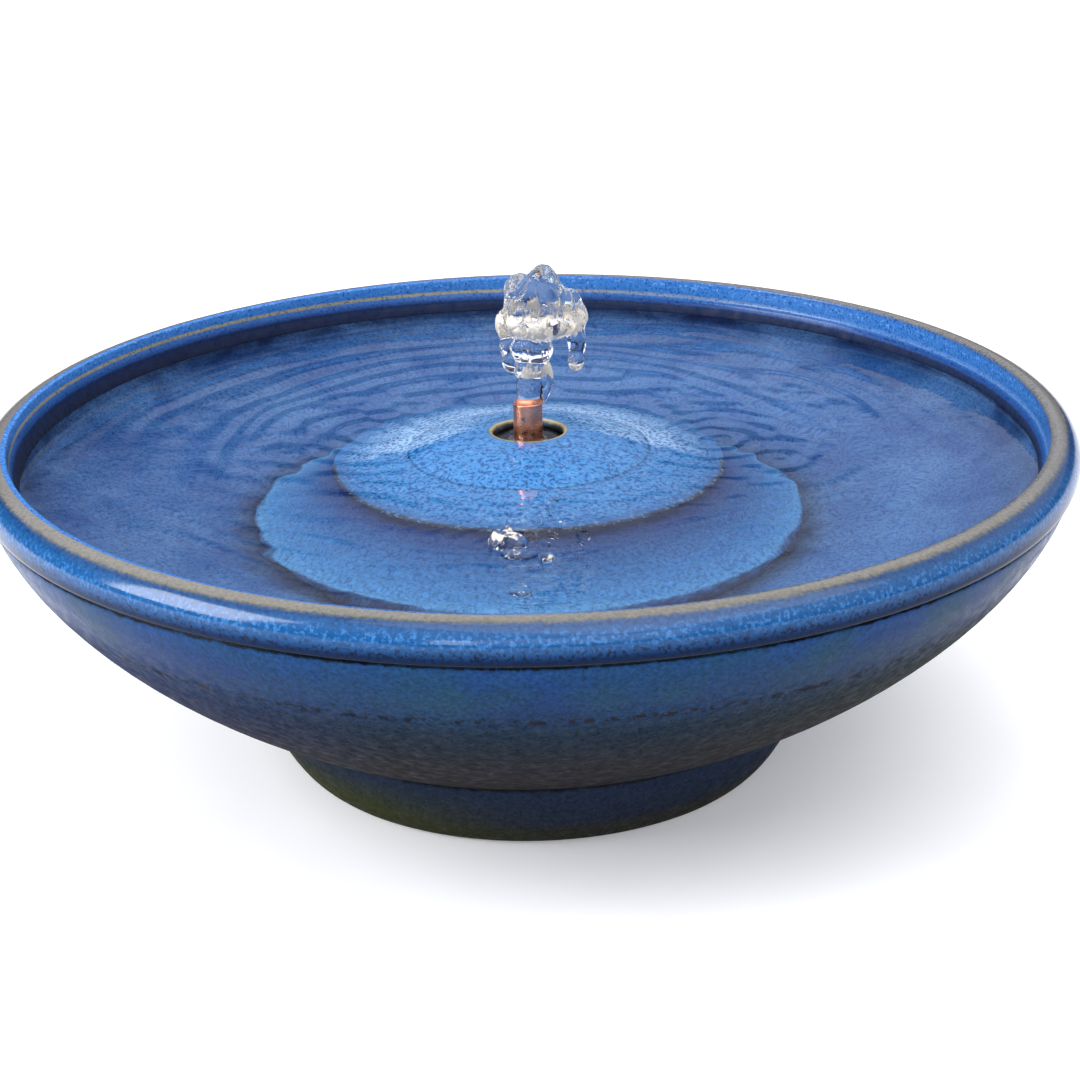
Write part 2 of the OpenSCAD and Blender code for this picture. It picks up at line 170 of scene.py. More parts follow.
def mesh_object(name: str, verts: np.ndarray, faces: Iterable[Sequence[int]],
                smooth: bool = True) -> bpy.types.Object:
    """Make an object from points in millimetres and their faces.

    Args:
        name: The object's name.
        verts: The points, one row each.
        faces: Corner numbers of each face.
        smooth: Whether the faces are shaded smooth.

    Returns:
        The new object, linked to the scene.
    """
    mesh = bpy.data.meshes.new(name)
    mesh.from_pydata((np.asarray(verts) * MM).tolist(), [], list(faces))
    mesh.validate()
    mesh.polygons.foreach_set("use_smooth", [smooth] * len(mesh.polygons))
    mesh.update()
    obj = bpy.data.objects.new(name, mesh)
    bpy.context.scene.collection.objects.link(obj)
    return obj


def ring_faces(turns: int, rows: int, shut: bool = True) -> list[tuple[int, int, int, int]]:
    """List the quads of a grid of points wound round an axis.

    Args:
        turns: Points round the axis.
        rows: Points along the section.
        shut: Whether the last column joins the first.

    Returns:
        The quads, their numbers running along the section first.
    """
    quads = []
    for i in range(turns if shut else turns - 1):
        a, b = i * rows, ((i + 1) % turns) * rows
        quads += [(a + k, b + k, b + k + 1, a + k + 1) for k in range(rows - 1)]
    return quads


def soften(points: np.ndarray, step: float, reach: float) -> np.ndarray:
    """Resample a line at even steps and round its corners.

    Args:
        points: The line's corners.
        step: Distance between the new points.
        reach: How far the rounding reaches along the line.

    Returns:
        The new points, with the same two ends.
    """
    run = np.concatenate([[0], np.cumsum(np.hypot(*np.diff(points, axis=0).T))])
    count = max(3, int(round(run[-1] / step)) + 1)
    at = np.linspace(0, run[-1], count)
    fine = np.stack([np.interp(at, run, points[:, i]) for i in (0, 1)], -1)
    half = max(1, int(round(reach / step)))
    kernel = np.hanning(2 * half + 3)[1:-1]
    kernel /= kernel.sum()
    before = 2 * fine[0] - fine[half:0:-1]
    after = 2 * fine[-1] - fine[-2:-half - 2:-1]
    long = np.concatenate([before, fine, after])
    out = np.stack([np.convolve(long[:, i], kernel, "valid") for i in (0, 1)], -1)
    out[0], out[-1] = fine[0], fine[-1]
    return out


def dress(obj: bpy.types.Object, *materials: bpy.types.Material) -> None:
    """Give an object these materials and no others."""
    obj.data.materials.clear()
    for material in materials:
        obj.data.materials.append(material)


def settle(obj: bpy.types.Object, body: str, slot: str, *nodes: str) -> None:
    """Fix a piece to its body, and hide the CAD nodes that it stands for.

    Args:
        obj: The piece.
        body: The body that it rides on.
        slot: The record's material slot; not used.
        nodes: The CAD nodes that it stands for.
    """
    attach(obj, body)
    if nodes:
        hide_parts(*nodes)
    log.info("%s rides on %s, %d faces", obj.name, body, len(obj.data.polygons))


def apply_modifier(obj: bpy.types.Object, kind: str, **settings: Any) -> None:
    """Apply one modifier to an object's mesh.

    Args:
        obj: The object.
        kind: The modifier's type.
        settings: Its settings.
    """
    modifier = obj.modifiers.new("work", kind)
    for name, value in settings.items():
        setattr(modifier, name, value)
    depsgraph = bpy.context.evaluated_depsgraph_get()
    mesh = bpy.data.meshes.new_from_object(obj.evaluated_get(depsgraph))
    obj.modifiers.clear()
    old, obj.data = obj.data, mesh
    bpy.data.meshes.remove(old)


# ---- finishes ----


class Face(Enum):
    """The parts of the bowl that the glaze treats differently."""

    ROLL = 0
    BELLY = 1
    RIM = 2
    BASIN = 3
    BARE = 4


@dataclass(frozen=True)
class FloatingBlueGlaze:
    """Stoneware glaze: glossy, blue, mottled where it pools, tan where it breaks thin.

    Clay shows through on sharp edges, and dark specks of iron gather where the
    glaze runs to a stop. To the eye it is a deep, wet blue with a grey-tan line
    along each edge.

    Attributes:
        roughness: How matt the fired glaze is.
        ior: Its refractive index, that of glass.
        fleck: The size of its finest flecks, in millimetres.
        drowned: Its reflection under water, which bends light nearly as it does.
        height: The height of the bowl's crest, in millimetres.
        crest_radius: The radius of the bowl's crest, in millimetres.
    """

    roughness: float = 0.13
    ior: float = 1.5
    fleck: float = 0.9
    drowned: float = 0.05
    height: float = 116.5
    crest_radius: float = 170.0

    def place(self, tree: Tree) -> Places:
        """Work out where a point lies on the piece, in millimetres.

        Args:
            tree: The material's node tree.

        Returns:
            Outputs for the position, its x, y, height and radius.
        """
        spot = add_node(tree, "ShaderNodeTexCoord").outputs["Object"]
        wide = add_node(tree, "ShaderNodeVectorMath", {"operation": "SCALE"},
                        {0: spot, "Scale": 1.0 / MM}).outputs[0]
        axes = add_node(tree, "ShaderNodeSeparateXYZ", None, {0: wide})
        flat = add_node(tree, "ShaderNodeVectorMath", {"operation": "MULTIPLY"},
                        {0: wide, 1: (1, 1, 0)}).outputs[0]
        out = add_node(tree, "ShaderNodeVectorMath", {"operation": "LENGTH"}, {0: flat}).outputs["Value"]
        return {"spot": spot, "x": axes.outputs[0], "y": axes.outputs[1], "z": axes.outputs[2], "r": out}

    def ragged(self, tree: Tree, at: Places, value: Any, reach: float, size: float) -> Any:
        """Shift a distance by noise, so that a band ends in drips and flecks.

        Args:
            tree: The material's node tree.
            at: The outputs of place().
            value: The distance to shift.
            reach: The largest shift, in millimetres.
            size: The size of the drips, in millimetres.

        Returns:
            The shifted distance's output.
        """
        drips = add_node(tree, "ShaderNodeTexNoise", None,
                         {"Vector": at["spot"], "Scale": per_metre(size), "Detail": 3.0, "Roughness": 0.6})
        swing = add_node(tree, "ShaderNodeMath", {"operation": "MULTIPLY_ADD"},
                         {0: drips.outputs[0], 1: 2 * reach, 2: -reach})
        return add_node(tree, "ShaderNodeMath", {"operation": "ADD"},
                        {0: value, 1: swing.outputs[0]}).outputs[0]

    def banded(self, tree: Tree, value: Any, bands: Sequence[tuple[float, str]]) -> Any:
        """Colour a distance by its bands.

        Args:
            tree: The material's node tree.
            value: The distance, in millimetres.
            bands: Distances and hex colours, in rising order.

        Returns:
            The colour's output.
        """
        low, high = bands[0][0], bands[-1][0]
        unit = add_node(tree, "ShaderNodeMapRange", None,
                        {"Value": value, "From Min": low, "From Max": high})
        stops = [((place - low) / (high - low), code) for place, code in bands]
        return add_node(tree, "ShaderNodeValToRGB", None, {0: unit.outputs[0]}, stops).outputs[0]

    def overlap(self, tree: Tree, *parts: Any) -> Any:
        """Find where masks overlap, weakened by any numbers among them.

        Args:
            tree: The material's node tree.
            parts: The masks' outputs and the numbers.

        Returns:
            The joint mask's output, from 0 to 1.
        """
        whole = parts[0]
        for part in parts[1:]:
            whole = add_node(tree, "ShaderNodeMath", {"operation": "MULTIPLY", "use_clamp": True},
                             {0: whole, 1: part}).outputs[0]
        return whole

    def lay(self, tree: Tree, colour: Any, code: str, *parts: Any, how: str = "MIX") -> Any:
        """Lay a colour over another where masks overlap.

        Args:
            tree: The material's node tree.
            colour: The output of the colour below.
            code: The hex code of the colour on top.
            parts: The masks' outputs, and how strong the colour is.
            how: The way that the two mix.

        Returns:
            The mixed colour's output.
        """
        return add_node(tree, "ShaderNodeMix", {"data_type": "RGBA", "blend_type": how},
                        {0: self.overlap(tree, *parts), 6: colour, 7: linear(code)}).outputs[2]

    def flecks(self, tree: Tree, at: Places, size: float, low: float, high: float) -> Any:
        """Make a mask of small flecks.

        Args:
            tree: The material's node tree.
            at: The outputs of place().
            size: The flecks' size in millimetres.
            low: The noise value where a fleck begins.
            high: The noise value where it is full.

        Returns:
            The mask's output.
        """
        grain = add_node(tree, "ShaderNodeTexNoise", None,
                         {"Vector": at["spot"], "Scale": per_metre(size), "Detail": 2.0, "Roughness": 0.55})
        return add_node(tree, "ShaderNodeMapRange", {"interpolation_type": "SMOOTHSTEP"},
                        {"Value": grain.outputs[0], "From Min": low, "From Max": high}).outputs[0]

    def within(self, tree: Tree, value: Any, middle: float, reach: float) -> Any:
        """Make a mask that is full at a distance and fades out each side of it.

        Args:
            tree: The material's node tree.
            value: The distance, in millimetres.
            middle: Where the mask is full.
            reach: How far it fades.

        Returns:
            The mask's output.
        """
        off = add_node(tree, "ShaderNodeMath", {"operation": "SUBTRACT"}, {0: value, 1: middle}).outputs[0]
        off = add_node(tree, "ShaderNodeMath", {"operation": "ABSOLUTE"}, {0: off}).outputs[0]
        return add_node(tree, "ShaderNodeMapRange", {"interpolation_type": "SMOOTHSTEP"},
                        {"Value": off, "From Min": reach, "From Max": 0.0}).outputs[0]

    def finish(self, tree: Tree, out: Any, at: Places, colour: Any, gloss: Any,
               level: Any = 0.5, bump: float = 0.05) -> None:
        """Put the glassy surface over the glaze's colour.

        Args:
            tree: The material's node tree.
            out: The material's output node.
            at: The outputs of place().
            colour: The colour's output.
            gloss: The roughness of the glaze.
            level: The strength of its reflection, 0.5 for plain glass.
            bump: The height of its orange-peel, in millimetres.
        """
        peel = add_node(tree, "ShaderNodeTexNoise", None,
                        {"Vector": at["spot"], "Scale": per_metre(3.5), "Detail": 4.0, "Roughness": 0.55})
        lift = add_node(tree, "ShaderNodeBump", None,
                        {"Strength": 0.5, "Distance": bump * MM, "Height": peel.outputs[0]})
        uneven = add_node(tree, "ShaderNodeMapRange", None,
                          {"Value": peel.outputs[0], "From Min": 0.3, "From Max": 0.7,
                           "To Min": 0.75, "To Max": 1.35}).outputs[0]
        shader = add_node(tree, "ShaderNodeBsdfPrincipled", None,
                          {"Base Color": colour, "Roughness": self.overlap(tree, uneven, gloss),
                           "IOR": self.ior, "Specular IOR Level": level, "Normal": lift.outputs[0]})
        tree.links.new(shader.outputs[0], out.inputs[0])

    def mottled(self, tree: Tree, at: Places, colour: Any, depth: float, size: float = 1.6) -> Any:
        """Make a colour darker and lighter in small clouds.

        Args:
            tree: The material's node tree.
            at: The outputs of place().
            colour: The colour's output.
            depth: How much darker and lighter, from 0 to 1.
            size: The clouds' size in millimetres.

        Returns:
            The clouded colour's output.
        """
        cloud = add_node(tree, "ShaderNodeTexNoise", None,
                         {"Vector": at["spot"], "Scale": per_metre(size), "Detail": 4.0, "Roughness": 0.75})
        tone = add_node(tree, "ShaderNodeMapRange", None,
                        {"Value": cloud.outputs[0], "From Min": 0.3, "From Max": 0.7,
                         "To Min": 1 - depth, "To Max": 1 + depth}).outputs[0]
        grey = add_node(tree, "ShaderNodeCombineColor", None, {0: tone, 1: tone, 2: tone}).outputs[0]
        return add_node(tree, "ShaderNodeMix", {"data_type": "RGBA", "blend_type": "MULTIPLY"},
                        {0: 1.0, 6: colour, 7: grey}).outputs[2]

    def roll(self) -> bpy.types.Material:
        """Make the glaze of the rolled edge: tan where it breaks, pale below, dark where it gathers."""
        material, tree, out = new_material("glazed stoneware, rolled edge of the bowl")
        at = self.place(tree)
        level = self.ragged(tree, at, at["z"], 0.45, 1.8)
        # by height: the dark groove, a tan line where the roll starts, blue, then the bare-looking crest
        colour = self.banded(tree, level, (
            (102.4, "#090b12"), (102.9, "#0b0e16"), (103.3, "#4c453c"), (103.8, "#2b2c2e"),
            (104.3, "#08162c"), (106.0, "#082044"), (108.2, "#0f3e6c"), (110.5, "#174a7c"),
            (113.0, "#184a7c"), (115.2, "#163e6a"), (115.6, "#4a5054"), (115.9, "#6a6760"),
            (116.5, "#726f68"),
        ))
        shine = self.flecks(tree, at, 1.3, 0.48, 0.64)
        colour = self.lay(tree, colour, "#4278b2", shine, self.within(tree, at["z"], 111.5, 4.0), 0.6)
        dark = self.flecks(tree, at, 1.25, 0.52, 0.6)
        colour = self.lay(tree, colour, "#06142c", dark, self.within(tree, at["z"], 106.8, 4.2), 0.9)
        colour = self.lay(tree, colour, "#132e5c", dark, self.within(tree, level, 114.9, 1.0), 0.9)
        wet = add_node(tree, "ShaderNodeMapRange", {"interpolation_type": "SMOOTHSTEP"},
                       {"Value": at["z"], "From Min": 105.5, "From Max": 112.0,
                        "To Min": 0.04, "To Max": 0.36}).outputs[0]
        self.finish(tree, out, at, self.mottled(tree, at, colour, 0.3, 1.2), self.roughness, wet)
        return material

    def belly(self) -> bpy.types.Material:
        """Make the thinner, satin glaze of the belly and the foot, browner as it thins, darker towards the
        foot partly by painted shade.
        """
        material, tree, out = new_material("glazed stoneware, belly of the bowl")
        at = self.place(tree)
        level = self.ragged(tree, at, at["z"], 1.4, 3.0)
        # by height: the foot, the dark line over it, the brown thin glaze, and blue up to the groove; the
        # darkening towards the foot is partly the glaze and partly painted shade
        colour = self.banded(tree, level, (
            (0.0, "#26261b"), (7.0, "#272824"), (12.0, "#1d2534"), (24.5, "#1b2639"), (26.0, "#06080c"),
            (27.5, "#111114"), (34.0, "#19191c"), (50.0, "#1d1c20"), (64.0, "#1a1f27"), (77.0, "#132434"),
            (81.5, "#112844"), (85.0, "#102a4c"), (94.0, "#11305a"), (102.4, "#153866"), (102.9, "#0b0e16"),
        ))
        drift = add_node(tree, "ShaderNodeTexNoise", None,
                         {"Vector": at["spot"], "Scale": per_metre(26.0), "Detail": 3.0,
                          "Roughness": 0.6}).outputs[0]
        teal = add_node(tree, "ShaderNodeMapRange", None,
                        {"Value": drift, "From Min": 0.42, "From Max": 0.68, "To Max": 0.75}).outputs[0]
        colour = self.lay(tree, colour, "#16394a", teal, self.within(tree, at["z"], 95.0, 20.0))
        left = add_node(tree, "ShaderNodeMapRange", None,
                        {"Value": at["x"], "From Min": 5.0, "From Max": -50.0, "To Max": 0.8}).outputs[0]
        colour = self.lay(tree, colour, "#2f3314", left, self.within(tree, level, 9.0, 17.0))
        # painted light: the left side of the belly is lifted to a paler blue as if lit by the side lamp, and
        # the right side gets a painted warm reflection
        for near, far, code in ((40.0, 150.0, "#3b3a26"), (-40.0, -150.0, "#2b3568")):
            side = add_node(tree, "ShaderNodeMapRange", None,
                            {"Value": at["x"], "From Min": near, "From Max": far, "To Max": 0.45}).outputs[0]
            colour = self.lay(tree, colour, code, side, self.within(tree, at["z"], 68.0, 34.0))
        # iron gathers in a broken line of dashes where the thicker glaze stopped running
        dash = self.flecks(tree, at, 3.0, 0.5, 0.55)
        colour = self.lay(tree, colour, "#06080d", dash, self.within(tree, level, 82.3, 2.2), 0.95)
        speck = self.flecks(tree, at, 1.4, 0.55, 0.62)
        colour = self.lay(tree, colour, "#07090e", speck, self.within(tree, at["z"], 66.0, 42.0), 0.7)
        matt = add_node(tree, "ShaderNodeMapRange", None,
                        {"Value": at["z"], "From Min": 74.0, "From Max": 92.0,
                         "To Min": 0.7, "To Max": 0.28}).outputs[0]
        self.finish(tree, out, at, self.mottled(tree, at, colour, 0.5, 1.3), matt, 0.05)
        return material

    def rim(self) -> bpy.types.Material:
        """Make the glaze of the crest, the ridge and the bevel inside it."""
        material, tree, out = new_material("glazed stoneware, rim of the bowl")
        at = self.place(tree)
        inward = add_node(tree, "ShaderNodeMath", {"operation": "SUBTRACT"},
                          {0: self.crest_radius + self.height, 1: at["r"]}).outputs[0]
        along = add_node(tree, "ShaderNodeMath", {"operation": "SUBTRACT"},
                         {0: inward, 1: at["z"]}).outputs[0]
        tilt = add_node(tree, "ShaderNodeMath", {"operation": "MULTIPLY_ADD"},
                        {0: at["x"], 1: -0.0112, 2: along}).outputs[0]
        level = self.ragged(tree, at, tilt, 0.35, 2.0)
        # inward and down from the crest: grey-tan, blue, a thin tan ridge, the bevel, then the wall below it,
        # darkened as painted shade
        colour = self.banded(tree, level, (
            (-2.0, "#726f68"), (0.5, "#6a6864"), (1.2, "#3a66a0"), (3.0, "#3a76ba"), (6.9, "#3870b0"),
            (7.5, "#96917a"), (8.2, "#888468"), (8.8, "#2f5c98"), (11.5, "#20447c"), (12.6, "#0d2248"),
            (13.3, "#152440"), (15.0, "#091a3a"), (19.0, "#071228"),
        ))
        # painted sheen: light blue laid over the tan ridge and bevel, growing stronger towards the right
        right = add_node(tree, "ShaderNodeMapRange", None,
                         {"Value": at["x"], "From Min": -10.0, "From Max": 110.0}).outputs[0]
        colour = self.lay(tree, colour, "#4378b8", right, self.within(tree, level, 7.8, 1.6))
        dark = self.flecks(tree, at, self.fleck, 0.53, 0.66)
        colour = self.lay(tree, colour, "#8094c8", dark, 0.8, how="MULTIPLY")
        light = self.flecks(tree, at, self.fleck * 1.2, 0.55, 0.7)
        colour = self.lay(tree, colour, "#8ab8ee", light, self.within(tree, level, 3.5, 4.0), 0.5)
        matt = add_node(tree, "ShaderNodeMapRange", None,
                        {"Value": level, "From Min": 10.5, "From Max": 12.5,
                         "To Min": self.roughness, "To Max": 0.7}).outputs[0]
        self.finish(tree, out, at, self.mottled(tree, at, colour, 0.2), matt, 0.2)
        return material

    def basin(self) -> bpy.types.Material:
        """Make the glaze of the basin, which pools darker towards the floor, with painted shade round the
        cover's foot and along the wall.
        """
        material, tree, out = new_material("glazed stoneware, basin")
        at = self.place(tree)
        level = self.ragged(tree, at, at["r"], 3.0, 12.0)
        # by radius: a darker ring where the cover's foot stands and the darkening towards the wall are
        # painted shade
        colour = self.banded(tree, level, (
            (0.0, "#2c5288"), (80.0, "#2e558e"), (92.0, "#1c3158"), (100.0, "#3a68a4"), (125.0, "#3f72b0"),
            (150.0, "#35629e"), (160.0, "#234678"), (164.0, "#14264a"),
        ))
        cloud = add_node(tree, "ShaderNodeTexNoise", None,
                         {"Vector": at["spot"], "Scale": per_metre(28.0), "Detail": 3.0, "Roughness": 0.5,
                          "Distortion": 0.6})
        haze = add_node(tree, "ShaderNodeMapRange", None,
                        {"Value": cloud.outputs[0], "From Min": 0.35, "From Max": 0.7,
                         "To Max": 0.55}).outputs[0]
        colour = self.lay(tree, colour, "#6a9aca", haze)
        dark = self.flecks(tree, at, 1.3, 0.5, 0.6)
        colour = self.lay(tree, colour, "#8096c4", dark, 0.6, how="MULTIPLY")
        self.finish(tree, out, at, self.mottled(tree, at, colour, 0.25, 1.8), self.roughness, self.drowned)
        return material

    def bare(self) -> bpy.types.Material:
        """Make the unglazed clay under the foot, buff and gritty."""
        material, tree, out = new_material("bare stoneware clay, wiped foot")
        at = self.place(tree)
        grit = add_node(tree, "ShaderNodeTexNoise", None,
                        {"Vector": at["spot"], "Scale": per_metre(1.0), "Detail": 6.0, "Roughness": 0.7})
        colour = add_node(tree, "ShaderNodeValToRGB", None, {0: grit.outputs[0]},
                          ((0.35, "#8d7358"), (0.55, "#a98c6c"), (0.7, "#bda180"))).outputs[0]
        lift = add_node(tree, "ShaderNodeBump", None,
                        {"Strength": 0.6, "Distance": 0.2 * MM, "Height": grit.outputs[0]})
        shader = add_node(tree, "ShaderNodeBsdfPrincipled", None,
                          {"Base Color": colour, "Roughness": 0.9, "IOR": 1.5, "Normal": lift.outputs[0]})
        tree.links.new(shader.outputs[0], out.inputs[0])
        return material


@dataclass(frozen=True)
class CoverGlaze(FloatingBlueGlaze):
    """The same glaze on the cover, thicker: a pale blue, densely specked cap.

    Under the sheet of water it looks brighter and wetter than on the bowl, and its back carries a painted
    reflection of that sheet.

    Attributes:
        top: The height of the cap's top, in millimetres.
        cap_edge: The radius of the cap's edge.
        cap_floor: The height of that edge.
        hole: The radius of the hole.
    """

    top: float = 111.19
    cap_edge: float = 64.2
    cap_floor: float = 92.49
    hole: float = 11.2

    def cap(self) -> bpy.types.Material:
        """Make the glaze of the domed cap and its hole."""
        material, tree, out = new_material("glazed stoneware, cap of the pump cover")
        at = self.place(tree)
        level = self.ragged(tree, at, at["r"], 0.5, 2.0)
        # outward: the well darkened as painted shade, a gold-tan lip, pale blue, then clay-brown at the edge,
        # partly painted shade
        colour = self.banded(tree, level, (
            (0.0, "#100b06"), (self.hole + 0.2, "#140e07"), (self.hole + 0.6, "#8a742e"),
            (self.hole + 1.2, "#c4a94e"), (self.hole + 1.7, "#5a7896"), (self.hole + 2.6, "#4490d0"),
            (36.0, "#4a94d2"), (48.0, "#4892d0"), (58.0, "#448ac6"), (self.cap_edge - 1.6, "#3b6ca4"),
            (self.cap_edge - 0.8, "#3c4450"), (self.cap_edge + 0.5, "#26262a"),
        ))
        # painted reflection: a pale patch over the back of the cap, with a lighter back edge, stands for the
        # sheet of water mirroring the bright room; the mask named thick only sets how far out from the hole
        # it reaches
        back_reflection = add_node(tree, "ShaderNodeMapRange", {"interpolation_type": "SMOOTHSTEP"},
                          {"Value": self.ragged(tree, at, at["y"], 7.0, 9.0),
                           "From Min": -2.0, "From Max": 2.5}).outputs[0]
        thick = self.within(tree, self.ragged(tree, at, at["r"], 3.0, 8.0), 36.0, 30.0)
        colour = self.lay(tree, colour, "#aad2f6", back_reflection, thick, 1.2)
        colour = self.lay(tree, colour, "#4680be", back_reflection, self.within(tree, level, self.cap_edge, 5.0), 1.6)
        # painted shade under the cap's edge
        colour = self.lay(tree, colour, "#1c2c52", self.within(tree, at["z"], self.cap_floor - 4.0, 5.0))
        speck = self.flecks(tree, at, 1.25, 0.5, 0.57)
        away = add_node(tree, "ShaderNodeMapRange", None,
                        {"Value": level, "From Min": self.cap_edge - 4.0, "From Max": self.cap_edge - 1.5,
                         "To Min": 1.0, "To Max": 0.0}).outputs[0]
        near = add_node(tree, "ShaderNodeMapRange", None,
                        {"Value": level, "From Min": self.hole + 1.4, "From Max": self.hole + 4.0}).outputs[0]
        colour = self.lay(tree, colour, "#13408a", speck, away, near, 0.75)
        pale = self.flecks(tree, at, 1.8, 0.52, 0.7)
        colour = self.lay(tree, colour, "#7fbcea", pale, near, 0.4)
        # painted shade: the inside of the hole darkened to near black
        deep = add_node(tree, "ShaderNodeMapRange", None,
                        {"Value": at["z"], "From Min": self.top - 1.0, "From Max": self.top - 2.4}).outputs[0]
        inside = add_node(tree, "ShaderNodeMapRange", None,
                          {"Value": at["r"], "From Min": self.hole + 1.0,
                           "From Max": self.hole + 0.5}).outputs[0]
        colour = self.lay(tree, colour, "#120c06", deep, inside)
        self.finish(tree, out, at, colour, 0.1, self.drowned, 0.12)
        return material

    def skirt(self) -> bpy.types.Material:
        """Make the glaze of the neck, the skirt and the inside of the cover."""
        material, tree, out = new_material("glazed stoneware, skirt of the pump cover")
        at = self.place(tree)
        level = self.ragged(tree, at, at["r"], 1.5, 7.0)
        # by radius: the hidden inside, painted shade at the neck under the cap's edge, blue growing paler
        # outward where the skirt turns up, partly painted light, and painted shade over the heel
        colour = self.banded(tree, level, (
            (0.0, "#34384a"), (55.0, "#222c44"), (62.4, "#16234a"), (64.5, "#2e4c84"), (70.0, "#3a6ea8"),
            (78.0, "#478cc8"), (85.0, "#549ed8"), (88.6, "#62aadc"), (90.2, "#2c4c7c"), (91.0, "#3c3e3c"),
        ))
        dark = self.flecks(tree, at, 1.1, 0.5, 0.62)
        colour = self.lay(tree, colour, "#8098c8", dark, 0.6, how="MULTIPLY")
        self.finish(tree, out, at, self.mottled(tree, at, colour, 0.3, 1.8), self.roughness, self.drowned)
        return material


@dataclass(frozen=True)
class ClearWater:
    """Clean water: colourless, its surface as smooth as its ripples allow.

    It shows only by what it bends and mirrors; where air is beaten into it, it
    turns white.

    Attributes:
        ior: Its refractive index.
        ripple: The size of its finest ripples, in millimetres.
        curd_size: The size of the froth's curds, in millimetres.
        crease_depth: The height of the froth's creases, in millimetres.
    """

    ior: float = 1.333
    ripple: float = 3.0
    curd_size: float = 3.6
    crease_depth: float = 1.2

    def material(self, name: str, foam: Optional[Sequence[tuple[float, str]]] = None,
                 fine: float = 0.05) -> bpy.types.Material:
        """Make the water, with white foam in it if it is broken up.

        Args:
            name: The material's name.
            foam: Heights in millimetres, and grey for how frothy it is there.
            fine: The height of the finest ripples, in millimetres.

        Returns:
            The material.
        """
        material, tree, out = new_material(name)
        spot = add_node(tree, "ShaderNodeTexCoord").outputs["Object"]
        wave = add_node(tree, "ShaderNodeTexNoise", None,
                        {"Vector": spot, "Scale": per_metre(self.ripple), "Detail": 2.0, "Roughness": 0.5})
        lift = add_node(tree, "ShaderNodeBump", None,
                        {"Strength": 1.0, "Distance": fine * MM, "Height": wave.outputs[0]})
        glass = add_node(tree, "ShaderNodeBsdfPrincipled", None,
                         {"Base Color": linear("#ffffff"), "Roughness": 0.0, "IOR": self.ior,
                          "Transmission Weight": 1.0, "Normal": lift.outputs[0]})
        if foam is None:
            tree.links.new(glass.outputs[0], out.inputs[0])
            return material
        # falling froth is drawn out, so its curds are twice as tall as wide
        long = add_node(tree, "ShaderNodeMapping", None,
                        {"Vector": spot, "Scale": (1.0, 1.0, 0.5)}).outputs[0]
        curd = add_node(tree, "ShaderNodeTexNoise", None,
                        {"Vector": long, "Scale": per_metre(self.curd_size), "Detail": 5.0,
                         "Roughness": 0.68})
        height = add_node(tree, "ShaderNodeSeparateXYZ", None, {0: spot}).outputs[2]
        low, high = foam[0][0], foam[-1][0]
        unit = add_node(tree, "ShaderNodeMapRange", None,
                        {"Value": height, "From Min": low * MM, "From Max": high * MM}).outputs[0]
        band = add_node(tree, "ShaderNodeValToRGB", None, {0: unit},
                        [((z - low) / (high - low), code) for z, code in foam]).outputs[0]
        more = add_node(tree, "ShaderNodeMath", {"operation": "MULTIPLY_ADD"},
                        {0: band, 1: 0.21, 2: curd.outputs[0]}).outputs[0]
        mask = add_node(tree, "ShaderNodeMapRange", {"interpolation_type": "SMOOTHSTEP"},
                        {"Value": more, "From Min": 0.64, "From Max": 0.74, "To Max": 0.95}).outputs[0]
        crease = add_node(tree, "ShaderNodeBump", None,
                          {"Strength": 1.0, "Distance": self.crease_depth * MM, "Height": curd.outputs[0]})
        white = add_node(tree, "ShaderNodeBsdfPrincipled", None,
                         {"Base Color": linear("#ded5c6"), "Roughness": 0.3, "IOR": self.ior,
                          "Normal": crease.outputs[0]})
        both = add_node(tree, "ShaderNodeMixShader", None,
                        {0: mask, 1: glass.outputs[0], 2: white.outputs[0]})
        tree.links.new(both.outputs[0], out.inputs[0])
        return material


@dataclass(frozen=True)
class BrushedCopper:
    """Drawn copper tube, rubbed bright: fine lines round it and a warm tarnish.

    It glows pink-orange with soft, stretched reflections.

    Attributes:
        roughness: How matt the rubbing leaves it.
    """

    roughness: float = 0.32

    def material(self) -> bpy.types.Material:
        """Make the copper."""
        material, tree, out = new_material("drawn copper, brushed")
        spot = add_node(tree, "ShaderNodeTexCoord").outputs["Object"]
        # brushing lines 0.12 mm apart would not show, so they are drawn 0.5 mm apart
        thin = add_node(tree, "ShaderNodeMapping", None,
                        {"Vector": spot, "Scale": (0.3, 0.3, 1.0)}).outputs[0]
        lines = add_node(tree, "ShaderNodeTexNoise", None,
                         {"Vector": thin, "Scale": per_metre(0.5), "Detail": 3.0})
        stain = add_node(tree, "ShaderNodeTexNoise", None,
                         {"Vector": spot, "Scale": per_metre(4.0), "Detail": 2.0})
        colour = add_node(tree, "ShaderNodeValToRGB", None, {0: stain.outputs[0]},
                          ((0.3, "#ee9878"), (0.55, "#f5ae90"), (0.75, "#fbc8b0"))).outputs[0]
        matt = add_node(tree, "ShaderNodeMapRange", None,
                        {"Value": lines.outputs[0], "From Min": 0.3, "From Max": 0.7,
                         "To Min": self.roughness * 0.7, "To Max": self.roughness * 1.4}).outputs[0]
        lift = add_node(tree, "ShaderNodeBump", None,
                        {"Strength": 0.1, "Distance": 0.02 * MM, "Height": lines.outputs[0]})
        shader = add_node(tree, "ShaderNodeBsdfPrincipled", None,
                          {"Base Color": colour, "Metallic": 1.0, "Roughness": matt,
                           "Normal": lift.outputs[0]})
        tree.links.new(shader.outputs[0], out.inputs[0])
        return material


